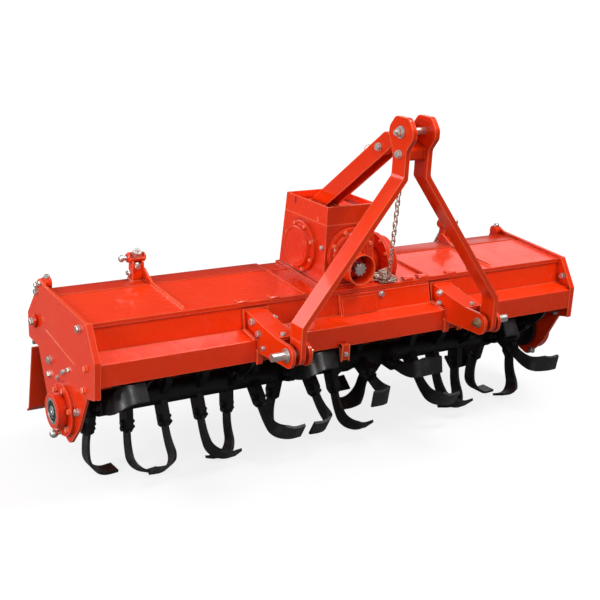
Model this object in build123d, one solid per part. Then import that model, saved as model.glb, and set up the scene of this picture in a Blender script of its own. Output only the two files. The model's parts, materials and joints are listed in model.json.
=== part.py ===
from build123d import *
import os
from math import atan2, cos, degrees, hypot, radians, sin, tan

os.makedirs("parts", exist_ok=True)

# Rotavator for a tractor's three-point linkage. Millimetres, +X across the machine, -Y forward to the
# tractor, +Z up. Every piece is drawn about the rotor's axis (y = 0, z = 0) and saved standing on Z = 0.

# ---- the machine ----------------------------------------------------------------------------------
working_width = 2100.0      # over the outer faces of the two side plates
axle_behind_middle = 25.0   # rotor axis behind the middle of the machine's length
seat_gap = 0.3              # between pieces that rest on or in each other
running_fit = 0.05          # radial play of a shaft in its bore
half_width = working_width / 2

# ---- rotor ----------------------------------------------------------------------------------------
blade_reach = 280.0         # rotor axis to a blade's cutting corner
blade_thickness = 10.0
shank_width = 46.0
shank_start = 72.0          # inner end of a shank, from the rotor axis
sweep_start = 150.0         # where the blade begins to curve back
wing_length = 100.0         # sideways reach of a blade's wing
wing_width = 58.0
wing_bend_radius = 70.0
wing_clearance_angle = 15.0
tube_radius = 42.0
end_ring_inset = 70.0       # last ring of blades from the end of the tube
tube_end_gap = 8.0          # between the tube's end flange and the side plate
end_flange_radius = 78.0
end_flange_thickness = 14.0
stub_radius = 25.0
holder_reach = 122.0        # rotor axis to the outer end of a blade holder
holder_width = 62.0
holder_cheek = 8.0
lowest_tip_angle = 10.0     # the two lowest tips stand this far either side of straight down

# ---- side plates ----------------------------------------------------------------------------------
plate_thickness = 10.0
plate_flange_depth = 22.0   # inward flange along the plate's front edge
plate_flange_thickness = 4.0
plate_shaft_hole = 60.0
plate_inner = half_width - plate_thickness

# ---- folded body ----------------------------------------------------------------------------------
beam_wall = 5.0
sheet = 4.0
rear_sheet = 5.0
cover_lip = 15.0
deck_drop = 6.0             # the centre deck lies this much lower than the side covers
seam_left = -200.0
seam_right = 352.0
centre_panel_left = -60.0
apron_thickness = 12.0      # plate over the centre panel, welded to the beam
apron_fold = 5.0

# ---- gearbox tower --------------------------------------------------------------------------------
tower_half_width = 107.0
tower_front = -117.0
tower_base = 358.0
tower_fold = 579.0
tower_top = 647.0
tower_rear_base = 192.0
tower_rear_top = 158.0
foot_flange = 10.0
foot_thickness = 12.0
tray_wall = 6.0
tray_depth = 30.0
side_cap = (35.0, 470.0)    # y, z of the left bearing cap
side_cap_radius = 96.0
side_cap_boss_radius = 78.0
front_cap_z = 470.0
front_cap_radius = 96.0
input_z = 427.0
input_radius = 17.5         # 1 3/8 inch power take-off shaft
input_reach = 80.0          # out of the tower's front face
shaft_chamfer = 2.0
input_boss = 26.0           # the boss that the shaft comes out of
journal_radius = 22.5
journal_length = 56.0
guard_radius = 57.0
guard_wall = 4.0

# ---- side drive -----------------------------------------------------------------------------------
drum = (22.0, 378.0)        # y, z of the drop gear's round housing
drum_radius = 98.0
drum_flange_radius = 116.0
drum_flange_x = 203.0       # left face of the drum's flange
drum_flange_thickness = 18.0
drum_right = 258.0
drum_bottom = 292.0         # flat underside, clear of the blades
drum_neck_radius = 62.0
cross_shaft = (22.0, 314.0)
cross_tube_radius = 24.0
case_thickness = 50.0
case_lower_radius = 96.0
case_upper_radius = 36.0

# ---- hitch and mast -------------------------------------------------------------------------------
hitch_spacing = 825.0       # Category II, between the middles of the lower hitch points
hitch_pin = (-431.0, 246.0)
hitch_pin_radius = 14.0     # Category II lower pin
hitch_pin_reach = 52.0      # free end, outside the shoulder
shoulder_length = 6.0
strap_width = 20.0          # straps under the cheeks, in front of the beam
strap_thickness = 10.0
strap_bottom = 152.0
chain_wire = 5.0
chain_links = 24
link_width = 20.0           # over the wire
link_play = 1.8
chain_top = (-29.0, -425.0, 848.0)      # middle of the first link
chain_end = (168.0, -146.0, 359.5)      # middle of the last link, which rests on the deck
chain_eye_radius = 3.0
shank_radius = 16.0         # the pin where it passes the cheeks and the mast bar
cheek_thickness = 12.0
cheek_gap = 54.0
cheek_nose = 43.0
mast_pin = (-440.0, 968.0)
mast_pin_radius = 12.5      # Category II upper pin
mast_gap = 76.0
bar_thickness = 18.0
bar_width = 70.0
bar_bend_z = 812.0
bar_foot_z = 340.0
foot_play = 17.0            # between a bar's foot and the outer cheek
mast_head_half_width = 64.0
mast_head_half_height = 50.0
strut_depth = 62.0
strut_width = 60.0
strut_wall = 8.0

# ---- tailboard ------------------------------------------------------------------------------------
board_hinge = (338.0, 126.0)
board_length = 296.0
board_lean = 10.0           # bottom edge out from the hinge, degrees from straight down
hinge_rod_radius = 8.0
knuckle_radius = 14.0
knuckle_inset = 50.0        # middle of the last fixed knuckle from the side plate
rod_x = 708.0               # adjusting rods either side of the middle
rod_radius = 7.0
rod_eye_radius = 16.0
rod_pin_radius = 7.0
hanger_hole = (193.0, 446.0)
collar_radius = 16.0
post_width = 44.0
post_top = 440.0


def plate(outline, x_low, x_high):
    """A flat plate across X: outline rows are (y, z, corner radius)."""
    points = [(y, z) for y, z, _ in outline]
    corners = [corner for _, _, corner in outline]
    edge = FilletPolyline(*points, radius=corners, close=True)
    return Pos(x_low, 0, 0) * extrude(Plane.YZ * make_face(edge), x_high - x_low)


def folded(points, thickness, x_low, x_high):
    """A folded sheet across X: points (y, z) run along its face, its thickness lies to their right."""
    directions = []
    for (y0, z0), (y1, z1) in zip(points, points[1:]):
        length = hypot(y1 - y0, z1 - z0)
        directions.append(((y1 - y0) / length, (z1 - z0) / length))
    back = []
    for index, (y, z) in enumerate(points):
        before = directions[max(index - 1, 0)]
        after = directions[min(index, len(directions) - 1)]
        ny, nz = before[1] + after[1], -(before[0] + after[0])
        scale = thickness * 2 / (ny * ny + nz * nz)
        back.append((y + ny * scale, z + nz * scale))
    outline = [(y, z, 0) for y, z in list(points) + back[::-1]]
    return plate(outline, x_low, x_high)


def rod(radius, x_low, x_high, y=0.0, z=0.0):
    """A round bar along X."""
    return Pos(x_low, y, z) * extrude(Plane.YZ * Circle(radius), x_high - x_low)


def turned(point, pivot, angle):
    """A point (y, z) turned about a pivot, positive from +Y towards +Z."""
    dy, dz = point[0] - pivot[0], point[1] - pivot[1]
    c, s = cos(radians(angle)), sin(radians(angle))
    return pivot[0] + dy * c - dz * s, pivot[1] + dy * s + dz * c


axle_height = blade_reach * cos(radians(lowest_tip_angle))
stand = Pos(0, axle_behind_middle, axle_height)


def save(name, *solids):
    """Write one node, standing on the ground, as one solid or several that don't touch."""
    placed = [stand * solid for solid in solids]
    shape = placed[0] if len(placed) == 1 else Compound(children=placed)
    export_step(shape, f"parts/{name}.step")


# ---- side plates ----------------------------------------------------------------------------------
# (y, z, corner radius), from the top of the front edge down and round
plate_outline = [
    (-178, 359, 6),
    (-250, 247, 14),
    (-250, 122, 5),
    (-190, 108, 5),
    (-118, -29, 60),
    (-40, -116, 36),
    (148, -58, 40),
    (251, 142, 12),
    (348, 147, 8),
    (355, 238, 8),
    (290, 318, 14),
    (268, 372, 9),
    (234, 396, 9),
    (194, 381, 8),
]
flange_line = [(y, z) for y, z, _ in plate_outline[:3]]


def side_plate(side):
    outer = side * half_width
    inner = side * plate_inner
    body = plate(plate_outline, min(outer, inner), max(outer, inner))
    flange_edge = side * (half_width - plate_flange_depth)
    flange = folded(flange_line[::-1], plate_flange_thickness,
                    min(inner, flange_edge), max(inner, flange_edge))
    hole = rod(plate_shaft_hole, -half_width - 1, half_width + 1)
    return body + flange - hole


save("side_plate_left", side_plate(-1))
save("side_plate_right", side_plate(1))

# ---- front beam: a closed box section between the plates -------------------------------------------
beam_front = -250 + plate_flange_thickness
beam_back = -167.0
beam_bottom = 161.0
beam_front_top = 239.0
beam_back_top = 253.0
beam_outline = [
    (beam_front, beam_bottom, 1),
    (beam_front, beam_front_top, 5),
    (beam_back, beam_back_top, 2),
    (beam_back, beam_back_top - 6, 2),
    (beam_front + 8, beam_bottom, 1),
]
beam_bore = [
    (beam_front + beam_wall, beam_bottom + 22, 1),
    (beam_front + beam_wall, beam_front_top - beam_wall + 1, 1),
    (beam_back - 20, beam_back_top - beam_wall - 4, 1),
]
front_beam = plate(beam_outline, -plate_inner, plate_inner) - plate(beam_bore, -half_width, half_width)
save("front_beam", front_beam)

# ---- covers: (y, z) along the outer face, front to rear --------------------------------------------
cover_front = (-152.0, 347.0)
cover_bend = (115.0, 364.0)
cover_rear = (204.0, 363.0)
lip_bottom = (cover_front[0], cover_front[1] - cover_lip)


def cover(x_low, x_high, drop=0.0, rear_y=cover_rear[0]):
    line = [(y, z - drop) for y, z in (lip_bottom, cover_front, cover_bend, (rear_y, cover_rear[1]))]
    return folded(line, sheet, x_low, x_high)


deck = cover(seam_left, seam_right, deck_drop, cover_rear[0] - sheet)


def drum_body(gap):
    """Neck and drum of the drop gear housing, flat below; a gap makes the hole that it passes through."""
    solid = rod(drum_radius + gap, drum_flange_x + drum_flange_thickness, drum_right + gap, *drum)
    solid += rod(drum_neck_radius + gap, tower_half_width, drum_flange_x + drum_flange_thickness, *drum)
    return solid & plate([(-half_width, drum_bottom - gap, 0), (-half_width, half_width, 0),
                          (half_width, half_width, 0), (half_width, drum_bottom - gap, 0)], 0, half_width)


save("top_cover_left", cover(-plate_inner, seam_left))
save("top_cover_right", cover(seam_right, plate_inner))

# ---- front panels under the covers -----------------------------------------------------------------
panel_top_y = cover_front[0] + sheet
panel_head_z = cover_front[1] - sheet
panel_fold_z = panel_head_z - cover_lip
panel_foot_z = beam_back_top - 0.9


def front_panel(x_low, x_high, drop=0.0):
    line = [(beam_back, panel_foot_z), (panel_top_y, panel_fold_z - drop), (panel_top_y, panel_head_z - drop)]
    return folded(line, sheet, x_low, x_high)


save("front_panel_left", front_panel(-plate_inner, seam_left))
save("front_panel_right", front_panel(seam_right, plate_inner))
centre_panel = front_panel(seam_left, seam_right, deck_drop)
panel_bend_z = panel_fold_z - deck_drop
apron_outline = [
    (beam_back, beam_back_top, 0),
    (beam_back - apron_thickness, beam_back_top - 2.1, 0),
    (panel_top_y - apron_thickness, panel_fold_z - apron_thickness, 3),
    (panel_top_y - apron_thickness, panel_fold_z - apron_fold, 3),
    (panel_top_y, panel_fold_z - 3, 0),
    (panel_top_y, panel_bend_z, 0),
]
apron = plate(apron_outline, centre_panel_left, seam_right)
save("centre_panel", centre_panel + apron)

# ---- rear cover: from the level strip down to the tailboard's hinge --------------------------------
rear_line = [(204, 359), (252, 304), (298, 226), (330, 150)]
rear_cover = folded(rear_line, rear_sheet, -plate_inner, plate_inner)
knuckle_pitch = (plate_inner - knuckle_inset) / 3
knuckle_length = 46.0


def knuckle(x_middle, length):
    return rod(knuckle_radius, x_middle - length / 2, x_middle + length / 2, *board_hinge)


fixed_knuckles = [index * knuckle_pitch for index in range(-3, 4)]
for x in fixed_knuckles:
    tab = plate([(board_hinge[0] - 12, board_hinge[1], 0), (324, 156, 0), (329, 158, 0),
                 (board_hinge[0] + 6, board_hinge[1], 0)], x - knuckle_length / 2, x + knuckle_length / 2)
    rear_cover += knuckle(x, knuckle_length) + tab
rear_cover -= rod(hinge_rod_radius + running_fit, -half_width, half_width, *board_hinge)
save("rear_cover", rear_cover)
save("hinge_rod", rod(hinge_rod_radius, -plate_inner, plate_inner, *board_hinge))

# ---- centre deck, with the drum let into it ---------------------------------------------------------
save("centre_deck", deck - drum_body(seat_gap))

# ---- gearbox tower: its foot lies on the deck's slope ------------------------------------------------
def deck_z(y):
    """Height of the centre deck's upper face at y, in front of its bend."""
    slope = (cover_bend[1] - cover_front[1]) / (cover_bend[0] - cover_front[0])
    return cover_bend[1] - deck_drop - slope * max(cover_bend[0] - y, 0)


tower_outline = [
    (tower_front, deck_z(tower_front), 0),
    (tower_front, tower_fold, 0),
    (tower_rear_top + 8, tower_fold, 0),
    (tower_rear_base, tower_base, 0),
    (cover_bend[0], tower_base, 0),
]
casing = plate(tower_outline, -tower_half_width, tower_half_width)
foot_front = tower_front - foot_flange
foot_rear = tower_rear_base + foot_flange
foot_outline = [
    (foot_front, deck_z(foot_front), 0),
    (foot_front, deck_z(foot_front) + foot_thickness, 0),
    (cover_bend[0], tower_base + foot_thickness, 0),
    (foot_rear, tower_base + foot_thickness, 0),
    (foot_rear, tower_base, 0),
    (cover_bend[0], tower_base, 0),
]
foot_half = tower_half_width + foot_flange
gearbox = casing + plate(foot_outline, -foot_half, foot_half)
input_bore = Pos(0, tower_front, input_z) * extrude(Plane.XZ * Circle(journal_radius + running_fit), -60)
save("gearbox_casing", gearbox - input_bore - drum_body(seat_gap))

tray_outline = [
    (tower_front, tower_fold, 0),
    (tower_front, tower_top, 0),
    (tower_rear_top, tower_top, 0),
    (tower_rear_top + 8, tower_fold, 0),
]
tray = plate(tray_outline, -tower_half_width, tower_half_width)
hollow_y = (tower_front + tray_wall, tower_rear_top - tray_wall)
hollow = Pos(0, sum(hollow_y) / 2, tower_top - tray_depth / 2) * Box(
    2 * (tower_half_width - tray_wall), hollow_y[1] - hollow_y[0], tray_depth)
save("tower_tray", tray - hollow)

cap = rod(side_cap_radius, -tower_half_width - 14, -tower_half_width, *side_cap)
cap += rod(side_cap_boss_radius, -tower_half_width - 34, -tower_half_width - 14, *side_cap)
save("side_bearing_cap", cap)

front_cap = Pos(0, tower_front, front_cap_z) * extrude(Plane.XZ * Circle(front_cap_radius), 14)
front_cap += Pos(0, tower_front, input_z) * extrude(Plane.XZ * Circle(40), input_boss)
journal_hole = extrude(Plane.XZ * Circle(journal_radius + running_fit), 60, both=True)
front_cap -= Pos(0, tower_front, input_z) * journal_hole
save("input_bearing_cap", front_cap)

free_end = input_reach - input_boss
shaft = Pos(0, -input_boss, 0) * extrude(Plane.XZ * Circle(input_radius), free_end - shaft_chamfer)
chamfered_end = extrude(Plane.XZ * Circle(input_radius), shaft_chamfer, taper=45)
shaft += Pos(0, shaft_chamfer - input_reach, 0) * chamfered_end
shaft += Pos(0, journal_length, 0) * extrude(Plane.XZ * Circle(journal_radius), journal_length + input_boss)
save("input_shaft", Pos(0, tower_front, input_z) * shaft)

guard = extrude(Plane.XZ * Circle(guard_radius), input_reach - 4)
guard -= extrude(Plane.XZ * Circle(guard_radius - guard_wall), input_reach)
save("shaft_guard", Pos(0, tower_front - 14, input_z) * guard)

# ---- side drive -------------------------------------------------------------------------------------
drum_flange = rod(drum_flange_radius, drum_flange_x, drum_flange_x + drum_flange_thickness, *drum)
above_deck_outline = [
    (-half_width, deck_z(-half_width) + seat_gap, 0),
    (cover_bend[0], tower_base + seat_gap, 0),
    (half_width, tower_base + seat_gap, 0),
    (half_width, half_width, 0),
    (-half_width, half_width, 0),
]
above_deck = plate(above_deck_outline, 0, half_width)
save("drop_gear_housing", drum_body(0) + (drum_flange & above_deck))
save("cross_shaft_tube", rod(cross_tube_radius, drum_right, plate_inner, *cross_shaft))

case_centres = ((0, 0, case_lower_radius), (*cross_shaft, case_upper_radius))
case = make_hull([edge for y, z, r in case_centres for edge in (Pos(y, z) * Circle(r)).edges()])
drive_case = Pos(half_width, 0, 0) * extrude(Plane.YZ * case, case_thickness)
drive_case -= rod(stub_radius + running_fit, half_width - 1, half_width + 34)
save("drive_case_right", drive_case)

housing = rod(92, -half_width - 14, -half_width) + rod(60, -half_width - case_thickness, -half_width - 14)
housing -= rod(stub_radius + running_fit, -half_width - 34, -half_width + 1)
housing -= rod(46, -half_width - case_thickness, -half_width - case_thickness + 8)
save("bearing_housing_left", housing)

# ---- rotor ------------------------------------------------------------------------------------------
tube_end = plate_inner - tube_end_gap
last_ring_x = tube_end - end_ring_inset
rotor_tube = rod(tube_radius, -tube_end, tube_end)
for side in (-1, 1):
    near, far = side * tube_end, side * (tube_end - end_flange_thickness)
    rotor_tube += rod(end_flange_radius, min(near, far), max(near, far))
rotor_tube += rod(stub_radius, -half_width - 30, half_width + 30)

holder_outline = [
    (-holder_width / 2, tube_radius - 12, 0),
    (-holder_width / 2, holder_reach - 20, 0),
    (-holder_width / 2 + 16, holder_reach, 0),
    (holder_width / 2 - 16, holder_reach, 0),
    (holder_width / 2, holder_reach - 20, 0),
    (holder_width / 2, tube_radius - 12, 0),
]
slot_half = blade_thickness / 2 + seat_gap
holder = plate(holder_outline, -slot_half - holder_cheek, slot_half + holder_cheek)
holder -= Pos(0, 0, shank_start + 50) * Box(2 * slot_half, shank_width + 2 * seat_gap, 100)

# ---- blade: a swept side outline cut by a bent-plate outline ----------------------------------------
lead_y = 20.0               # cutting corner ahead of the shank's middle line
lead_angle = degrees(atan2(lead_y, blade_reach))
tip_z = (blade_reach ** 2 - lead_y ** 2) ** 0.5
trail_y = lead_y + wing_width
heel_z = tip_z - wing_width * tan(radians(wing_clearance_angle))
half_shank = shank_width / 2


def blade_side():
    """The blade's outline seen along the rotor, pointing up +Z and swept back towards +Y."""
    lead_start = (lead_y - 16, tip_z - 22)
    trail_start = (trail_y, heel_z - 20)
    front = Line((-half_shank, shank_start), (-half_shank, sweep_start))
    front_sweep = TangentArc((-half_shank, sweep_start), lead_start, tangent=(0, 1))
    lead = Line(lead_start, (lead_y, tip_z))
    edge = Line((lead_y, tip_z), (trail_y, heel_z))
    trail = Line((trail_y, heel_z), trail_start)
    back_sweep = TangentArc((half_shank, sweep_start - 20), trail_start, tangent=(0, 1))
    back = Line((half_shank, sweep_start - 20), (half_shank, shank_start))
    base = Line((half_shank, shank_start), (-half_shank, shank_start))
    return make_face(Wire([front, front_sweep, lead, edge, trail, back_sweep, back, base]))


def bent_bar(hand):
    """The bar's section seen along its travel: up the shank, round the bend and out along the wing."""
    half = blade_thickness / 2
    top = blade_reach
    drop = 8
    tip = top - drop
    points = [(-half, 0), (-half, top), (wing_length, tip), (wing_length, tip - blade_thickness),
              (half, top - blade_thickness), (half, 0)]
    corners = [0, wing_bend_radius, 0, 0, wing_bend_radius - blade_thickness, 0]
    edge = FilletPolyline(*[(hand * x, z) for x, z in points], radius=corners, close=True)
    return extrude(Plane.XZ * make_face(edge), 200, both=True)


def blade(hand):
    outline = Pos(-200, 0, 0) * extrude(Plane.YZ * blade_side(), 400)
    return outline & Rot(-wing_clearance_angle, 0, 0) * bent_bar(hand)


# ring: (place along the rotor from -1 to 1, angle of its first tip from straight down towards the rear,
# hands of its blades)
rings = [
    (-1.000, 10, "RRR"),
    (-0.863, -10, "RLR"),
    (-0.730, -30, "LRL"),
    (-0.582, -30, "RRL"),
    (-0.449, -10, "LRL"),
    (-0.343, 70, "RLR"),
    (-0.223, 10, "RLR"),
    (-0.094, -50, "LRL"),
    (0.021, -30, "RLR"),
    (0.156, -70, "LRL"),
    (0.272, -90, "RLR"),
    (0.411, -50, "RLR"),
    (0.541, -30, "RLR"),
    (0.681, -10, "LRL"),
    (0.821, 10, "RLL"),
    (0.925, -70, "RLR"),
    (0.998, -10, "LLL"),
]
blades = {"R": [], "L": []}
for ring_place, first_angle, hands in rings:
    for index, hand in enumerate(hands):
        angle = 180 + first_angle + index * 360 / len(hands) + lead_angle
        place = Pos(ring_place * last_ring_x, 0, 0) * Rot(angle, 0, 0)
        blades[hand].append(place)
        rotor_tube += place * holder
save("rotor_tube", rotor_tube)

for hand, sign, name in (("R", 1, "blades_right_hand"), ("L", -1, "blades_left_hand")):
    one_blade = blade(sign)
    save(name, *[place * one_blade for place in blades[hand]])

# ---- hitch brackets: two cheeks and a web on a back plate, bolted to the beam ------------------------
cheek_inner = hitch_spacing / 2 - cheek_gap / 2
cheek_outer = hitch_spacing / 2 + cheek_gap / 2
back_plate = 8.0
arm_top = [(-360, 283), (-270, 297), (-154, 320)]
pin_y, pin_z = hitch_pin
cheek_outline = [
    (beam_front, 196, 0),
    (pin_y + 20, pin_z - cheek_nose, 20),
    (pin_y - cheek_nose + 8, pin_z - cheek_nose, 32),
    (pin_y - cheek_nose, pin_z + cheek_nose - 8, 34),
    *[(y, z, 8) for y, z in arm_top],
    (beam_back, beam_back_top, 0),
    (beam_front, beam_front_top, 0),
]


strap_outline = [
    (beam_front, strap_bottom, 0),
    (beam_front - strap_thickness, strap_bottom, 4),
    (beam_front - strap_thickness, pin_z - cheek_nose, 0),
    (beam_front, pin_z - cheek_nose, 0),
]


def across(side, near, far):
    """Low and high X of a span given by its distances from the middle, on one side."""
    return min(side * near, side * far), max(side * near, side * far)


def hitch_bracket(side):
    cheeks = (cheek_inner - cheek_thickness, cheek_inner), (cheek_outer, cheek_outer + cheek_thickness)
    body = folded([(-150, 322), (beam_back, beam_back_top), (beam_front + 5, 240)], back_plate,
                  *across(side, cheeks[0][0] - 12, cheeks[1][1] + 12))
    for near, far in cheeks:
        body += plate(cheek_outline, *across(side, near, far))
        middle = (near + far) / 2
        body += plate(strap_outline, *across(side, middle - strap_width / 2, middle + strap_width / 2))
    body += folded([*arm_top[:-1], (-158, 319.2)], cheek_thickness, *across(side, cheek_inner, cheek_outer))
    body -= rod(shank_radius + running_fit, -half_width, half_width, *hitch_pin)
    return body


save("hitch_bracket_left", hitch_bracket(-1))
save("hitch_bracket_right", hitch_bracket(1))
pin_inner = cheek_inner - cheek_thickness - 8
pin_outer = cheek_outer + cheek_thickness + shoulder_length + hitch_pin_reach
shoulder = cheek_outer + cheek_thickness + shoulder_length
for side, name in ((-1, "lower_pin_left"), (1, "lower_pin_right")):
    save(name, rod(hitch_pin_radius, *across(side, shoulder, pin_outer), *hitch_pin)
         + rod(shank_radius, *across(side, pin_inner, shoulder), *hitch_pin))

# ---- mast: two flat bars, each a bent strip cut to its side outline ----------------------------------
mast_y, mast_z = mast_pin
head_x = mast_gap / 2
foot_x = cheek_outer - foot_play
half_bar = bar_width / 2
bar_side = [
    (mast_y - half_bar, pin_z - half_bar, half_bar - 1),
    (mast_y - half_bar, mast_z - 58, 20),
    (mast_y - mast_head_half_width, mast_z - 18, 18),
    (mast_y - mast_head_half_width, mast_z + 12, 26),
    (mast_y - 34, mast_z + mast_head_half_height, 24),
    (mast_y + 34, mast_z + mast_head_half_height, 24),
    (mast_y + mast_head_half_width, mast_z + 12, 26),
    (mast_y + mast_head_half_width, mast_z - 18, 18),
    (mast_y + half_bar, mast_z - 58, 20),
    (mast_y + half_bar, pin_z - half_bar, half_bar - 1),
]


def mast_bar(side):
    slant = atan2(foot_x - bar_thickness - head_x, bar_bend_z - bar_foot_z)
    shift = bar_thickness * (1 - sin(slant)) / cos(slant)
    strip = [(head_x, mast_z + 100), (head_x, bar_bend_z), (foot_x - bar_thickness, bar_foot_z),
             (foot_x - bar_thickness, pin_z - 100), (foot_x, pin_z - 100), (foot_x, bar_foot_z + shift),
             (head_x + bar_thickness, bar_bend_z + shift), (head_x + bar_thickness, mast_z + 100)]
    corners = [0, 14, 30, 0, 0, 12, 32, 0]
    edge = FilletPolyline(*[(side * x, z) for x, z in strip], radius=corners, close=True)
    bent = Pos(0, mast_y, 0) * extrude(Plane.XZ * make_face(edge), 120, both=True)
    bar = bent & plate(bar_side, -half_width, half_width)
    bar -= rod(mast_pin_radius + running_fit, -200, 200, *mast_pin)
    bar -= rod(shank_radius + running_fit, -half_width, half_width, *hitch_pin)
    return bar


save("mast_bar_left", mast_bar(-1))
save("mast_bar_right", mast_bar(1))
save("mast_pin", rod(mast_pin_radius, -head_x - bar_thickness - 16, head_x + bar_thickness + 24, *mast_pin))

# ---- strut from the mast down into the tower's tray --------------------------------------------------
strut_foot = (38.0, 638.0)
strut_head = (-326.0, 917.0)
floor_z = tower_top - tray_depth
strut_angle = atan2(strut_head[1] - strut_foot[1], strut_foot[0] - strut_head[0])
normal = (sin(strut_angle), cos(strut_angle))
along = (-cos(strut_angle), sin(strut_angle))


def strut_point(base, distance, offset):
    return (base[0] + along[0] * distance + normal[0] * offset,
            base[1] + along[1] * distance + normal[1] * offset)


def strut_foot_y(offset):
    """Where a line along the strut, offset from its middle, meets the tray's floor."""
    y, z = strut_point(strut_foot, 0, offset)
    return y + (z - floor_z) * cos(strut_angle) / sin(strut_angle)


half_depth = strut_depth / 2
strut_outline = [
    (strut_foot_y(-half_depth), floor_z, 0),
    (strut_foot_y(half_depth), floor_z, 0),
    (*strut_point(strut_head, half_depth, half_depth), 26),
    (*strut_point(strut_head, half_depth, -half_depth), 26),
]
strut_bore = [
    (strut_foot_y(-half_depth - 30), floor_z - 1, 0),
    (strut_foot_y(half_depth - strut_wall) + 1, floor_z - 1, 0),
    (*strut_point(strut_head, half_depth + 40, half_depth - strut_wall), 0),
    (*strut_point(strut_head, half_depth + 40, -half_depth - 30), 0),
]
half_strut = strut_width / 2
strut = plate(strut_outline, -half_strut, half_strut)
strut -= plate(strut_bore, -half_strut + strut_wall, half_strut - strut_wall)
save("mast_strut", strut)

lug_half = half_strut - strut_wall - seat_gap
lug_depth = half_depth - strut_wall - seat_gap
lug_outline = [
    (*strut_point(strut_head, -60, -lug_depth), 0),
    (*strut_point(strut_head, -60, lug_depth), 0),
    (*strut_point(strut_head, 92, lug_depth), 18),
    (*strut_point(strut_head, 112, -lug_depth - 4), 18),
]
lug = plate(lug_outline, -lug_half, lug_half)
block_outline = [
    (mast_y - 18, 870, 12),
    (mast_y - 18, 912, 12),
    (mast_y + 34, 928, 4),
    (mast_y + 62, 984, 12),
    (mast_y + 92, 962, 12),
    (mast_y + 60, 880, 20),
]
lug += plate(block_outline, -head_x + seat_gap, head_x - seat_gap)
save("mast_lug", lug)

# ---- rear posts and the ribs that brace them ---------------------------------------------------------
post_front = 168.0
post_rear = cover_rear[0]
hook_y, hook_z = hanger_hole
eye_local = (80.0, -122.0)


def on_board(point, angle=0.0):
    """A point of the board, given from its hinge with the board hanging straight down."""
    placed = (board_hinge[0] + point[0], board_hinge[1] + point[1])
    return turned(placed, board_hinge, board_lean + angle)


eye = on_board(eye_local)
rod_lean = degrees(atan2(hook_y - eye[0], hook_z - eye[1]))
rod_length = hypot(hook_y - eye[0], hook_z - eye[1])
hanger_thickness = 20.0
hanger_half = 18.0
hanger = Box(post_width + 12, 2 * hanger_half, hanger_thickness)
hanger -= Box(2 * rod_radius + 2, 2 * hanger_half - 8, 3 * hanger_thickness)
post_cheek = [
    (post_front, cover_rear[1] + 1, 0),
    (post_front, post_top - 8, 4),
    (hook_y - 8, post_top + 4, 4),
    (hook_y + 8, post_top - 5, 4),
    (post_rear, post_top - 40, 10),
    (post_rear, cover_rear[1] + 1, 0),
]
post_wall = 6.0
post_face = [
    (post_front, cover_rear[1] + 1, 0),
    (post_front, post_top - 14, 0),
    (post_front + post_wall, post_top - 14, 0),
    (post_front + post_wall, cover_rear[1] + 1, 0),
]


def rear_post(side):
    near, far = rod_x - post_width / 2, rod_x + post_width / 2
    body = plate(post_cheek, *across(side, near, near + post_wall))
    body += plate(post_cheek, *across(side, far - post_wall, far))
    body += plate(post_face, *across(side, near, far))
    return body + Pos(side * rod_x, hook_y, hook_z) * Rot(-rod_lean, 0, 0) * hanger


save("rear_post_left", rear_post(-1))
save("rear_post_right", rear_post(1))


def cover_z(y):
    """Height of a side cover's upper face at y, in front of its bend."""
    return deck_z(y) + deck_drop


rib_front = -132.0
rib_thickness = 7.0
rib_outline = [
    (rib_front, cover_z(rib_front), 0),
    (rib_front, cover_z(rib_front) + 9, 5),
    (cover_bend[0] - 6, cover_bend[1] + 9, 12),
    (post_front + 8, post_top - 30, 0),
    (post_rear - 8, post_top - 44, 4),
    (post_rear - 8, cover_bend[1], 0),
    (cover_bend[0], cover_bend[1], 0),
]
rib_near = rod_x - post_width / 2 - seat_gap
for side, name in ((-1, "post_rib_left"), (1, "post_rib_right")):
    save(name, plate(rib_outline, *across(side, rib_near - rib_thickness, rib_near)))

# ---- tailboard ---------------------------------------------------------------------------------------
board_half = half_width - 6
rib_inset = 160.0
board_top = -20.0           # upper edge below the hinge, clear of the fixed knuckles
hinge_place = Pos(0, *board_hinge) * Rot(board_lean, 0, 0)


def hung(outline, x_low, x_high):
    """A plate given from the hinge with the board hanging straight down."""
    return hinge_place * plate(outline, x_low, x_high)


board_line = [(2, board_top), (2, 22 - board_length), (18, -board_length)]
tailboard = hinge_place * folded(board_line, rear_sheet, -board_half, board_half)
moving_knuckles = [(index + 0.5) * knuckle_pitch for index in range(-3, 3)]
moving_length = 70.0
hinge_tab = [(-10, 0, 0), (-2, board_top - 2, 0), (2, board_top - 2, 0), (10, 0, 0)]
for x in moving_knuckles:
    low, high = x - moving_length / 2, x + moving_length / 2
    tailboard += knuckle(x, moving_length) + hung(hinge_tab, low, high)
for x in (-board_half + rib_inset, -knuckle_pitch, 0.0, knuckle_pitch, board_half - rib_inset):
    tailboard += hung([(2, board_top - 14, 0), (24, board_top - 40, 10), (24, 40 - board_length, 10),
                       (2, 30 - board_length, 0)], x - 3, x + 3)
eye_y, eye_z = eye_local
eye_thickness = 14.0
eye_play = 1.0
ear_near = eye_thickness / 2 + eye_play
ear_outline = [
    (2, eye_z + 30, 0),
    (eye_y + 8, eye_z + 17, 16),
    (eye_y + 18, eye_z - 6, 16),
    (eye_y - 4, eye_z - 18, 16),
    (2, eye_z - 52, 0),
]
ear_thickness = 7.0
for side in (-1, 1):
    for near in (rod_x - ear_near - ear_thickness, rod_x + ear_near):
        tailboard += hung(ear_outline, *across(side, near, near + ear_thickness))
tailboard -= rod(hinge_rod_radius + running_fit, -half_width, half_width, *board_hinge)
tailboard -= rod(rod_pin_radius + running_fit, -half_width, half_width, *eye)
save("tailboard", tailboard)

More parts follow.
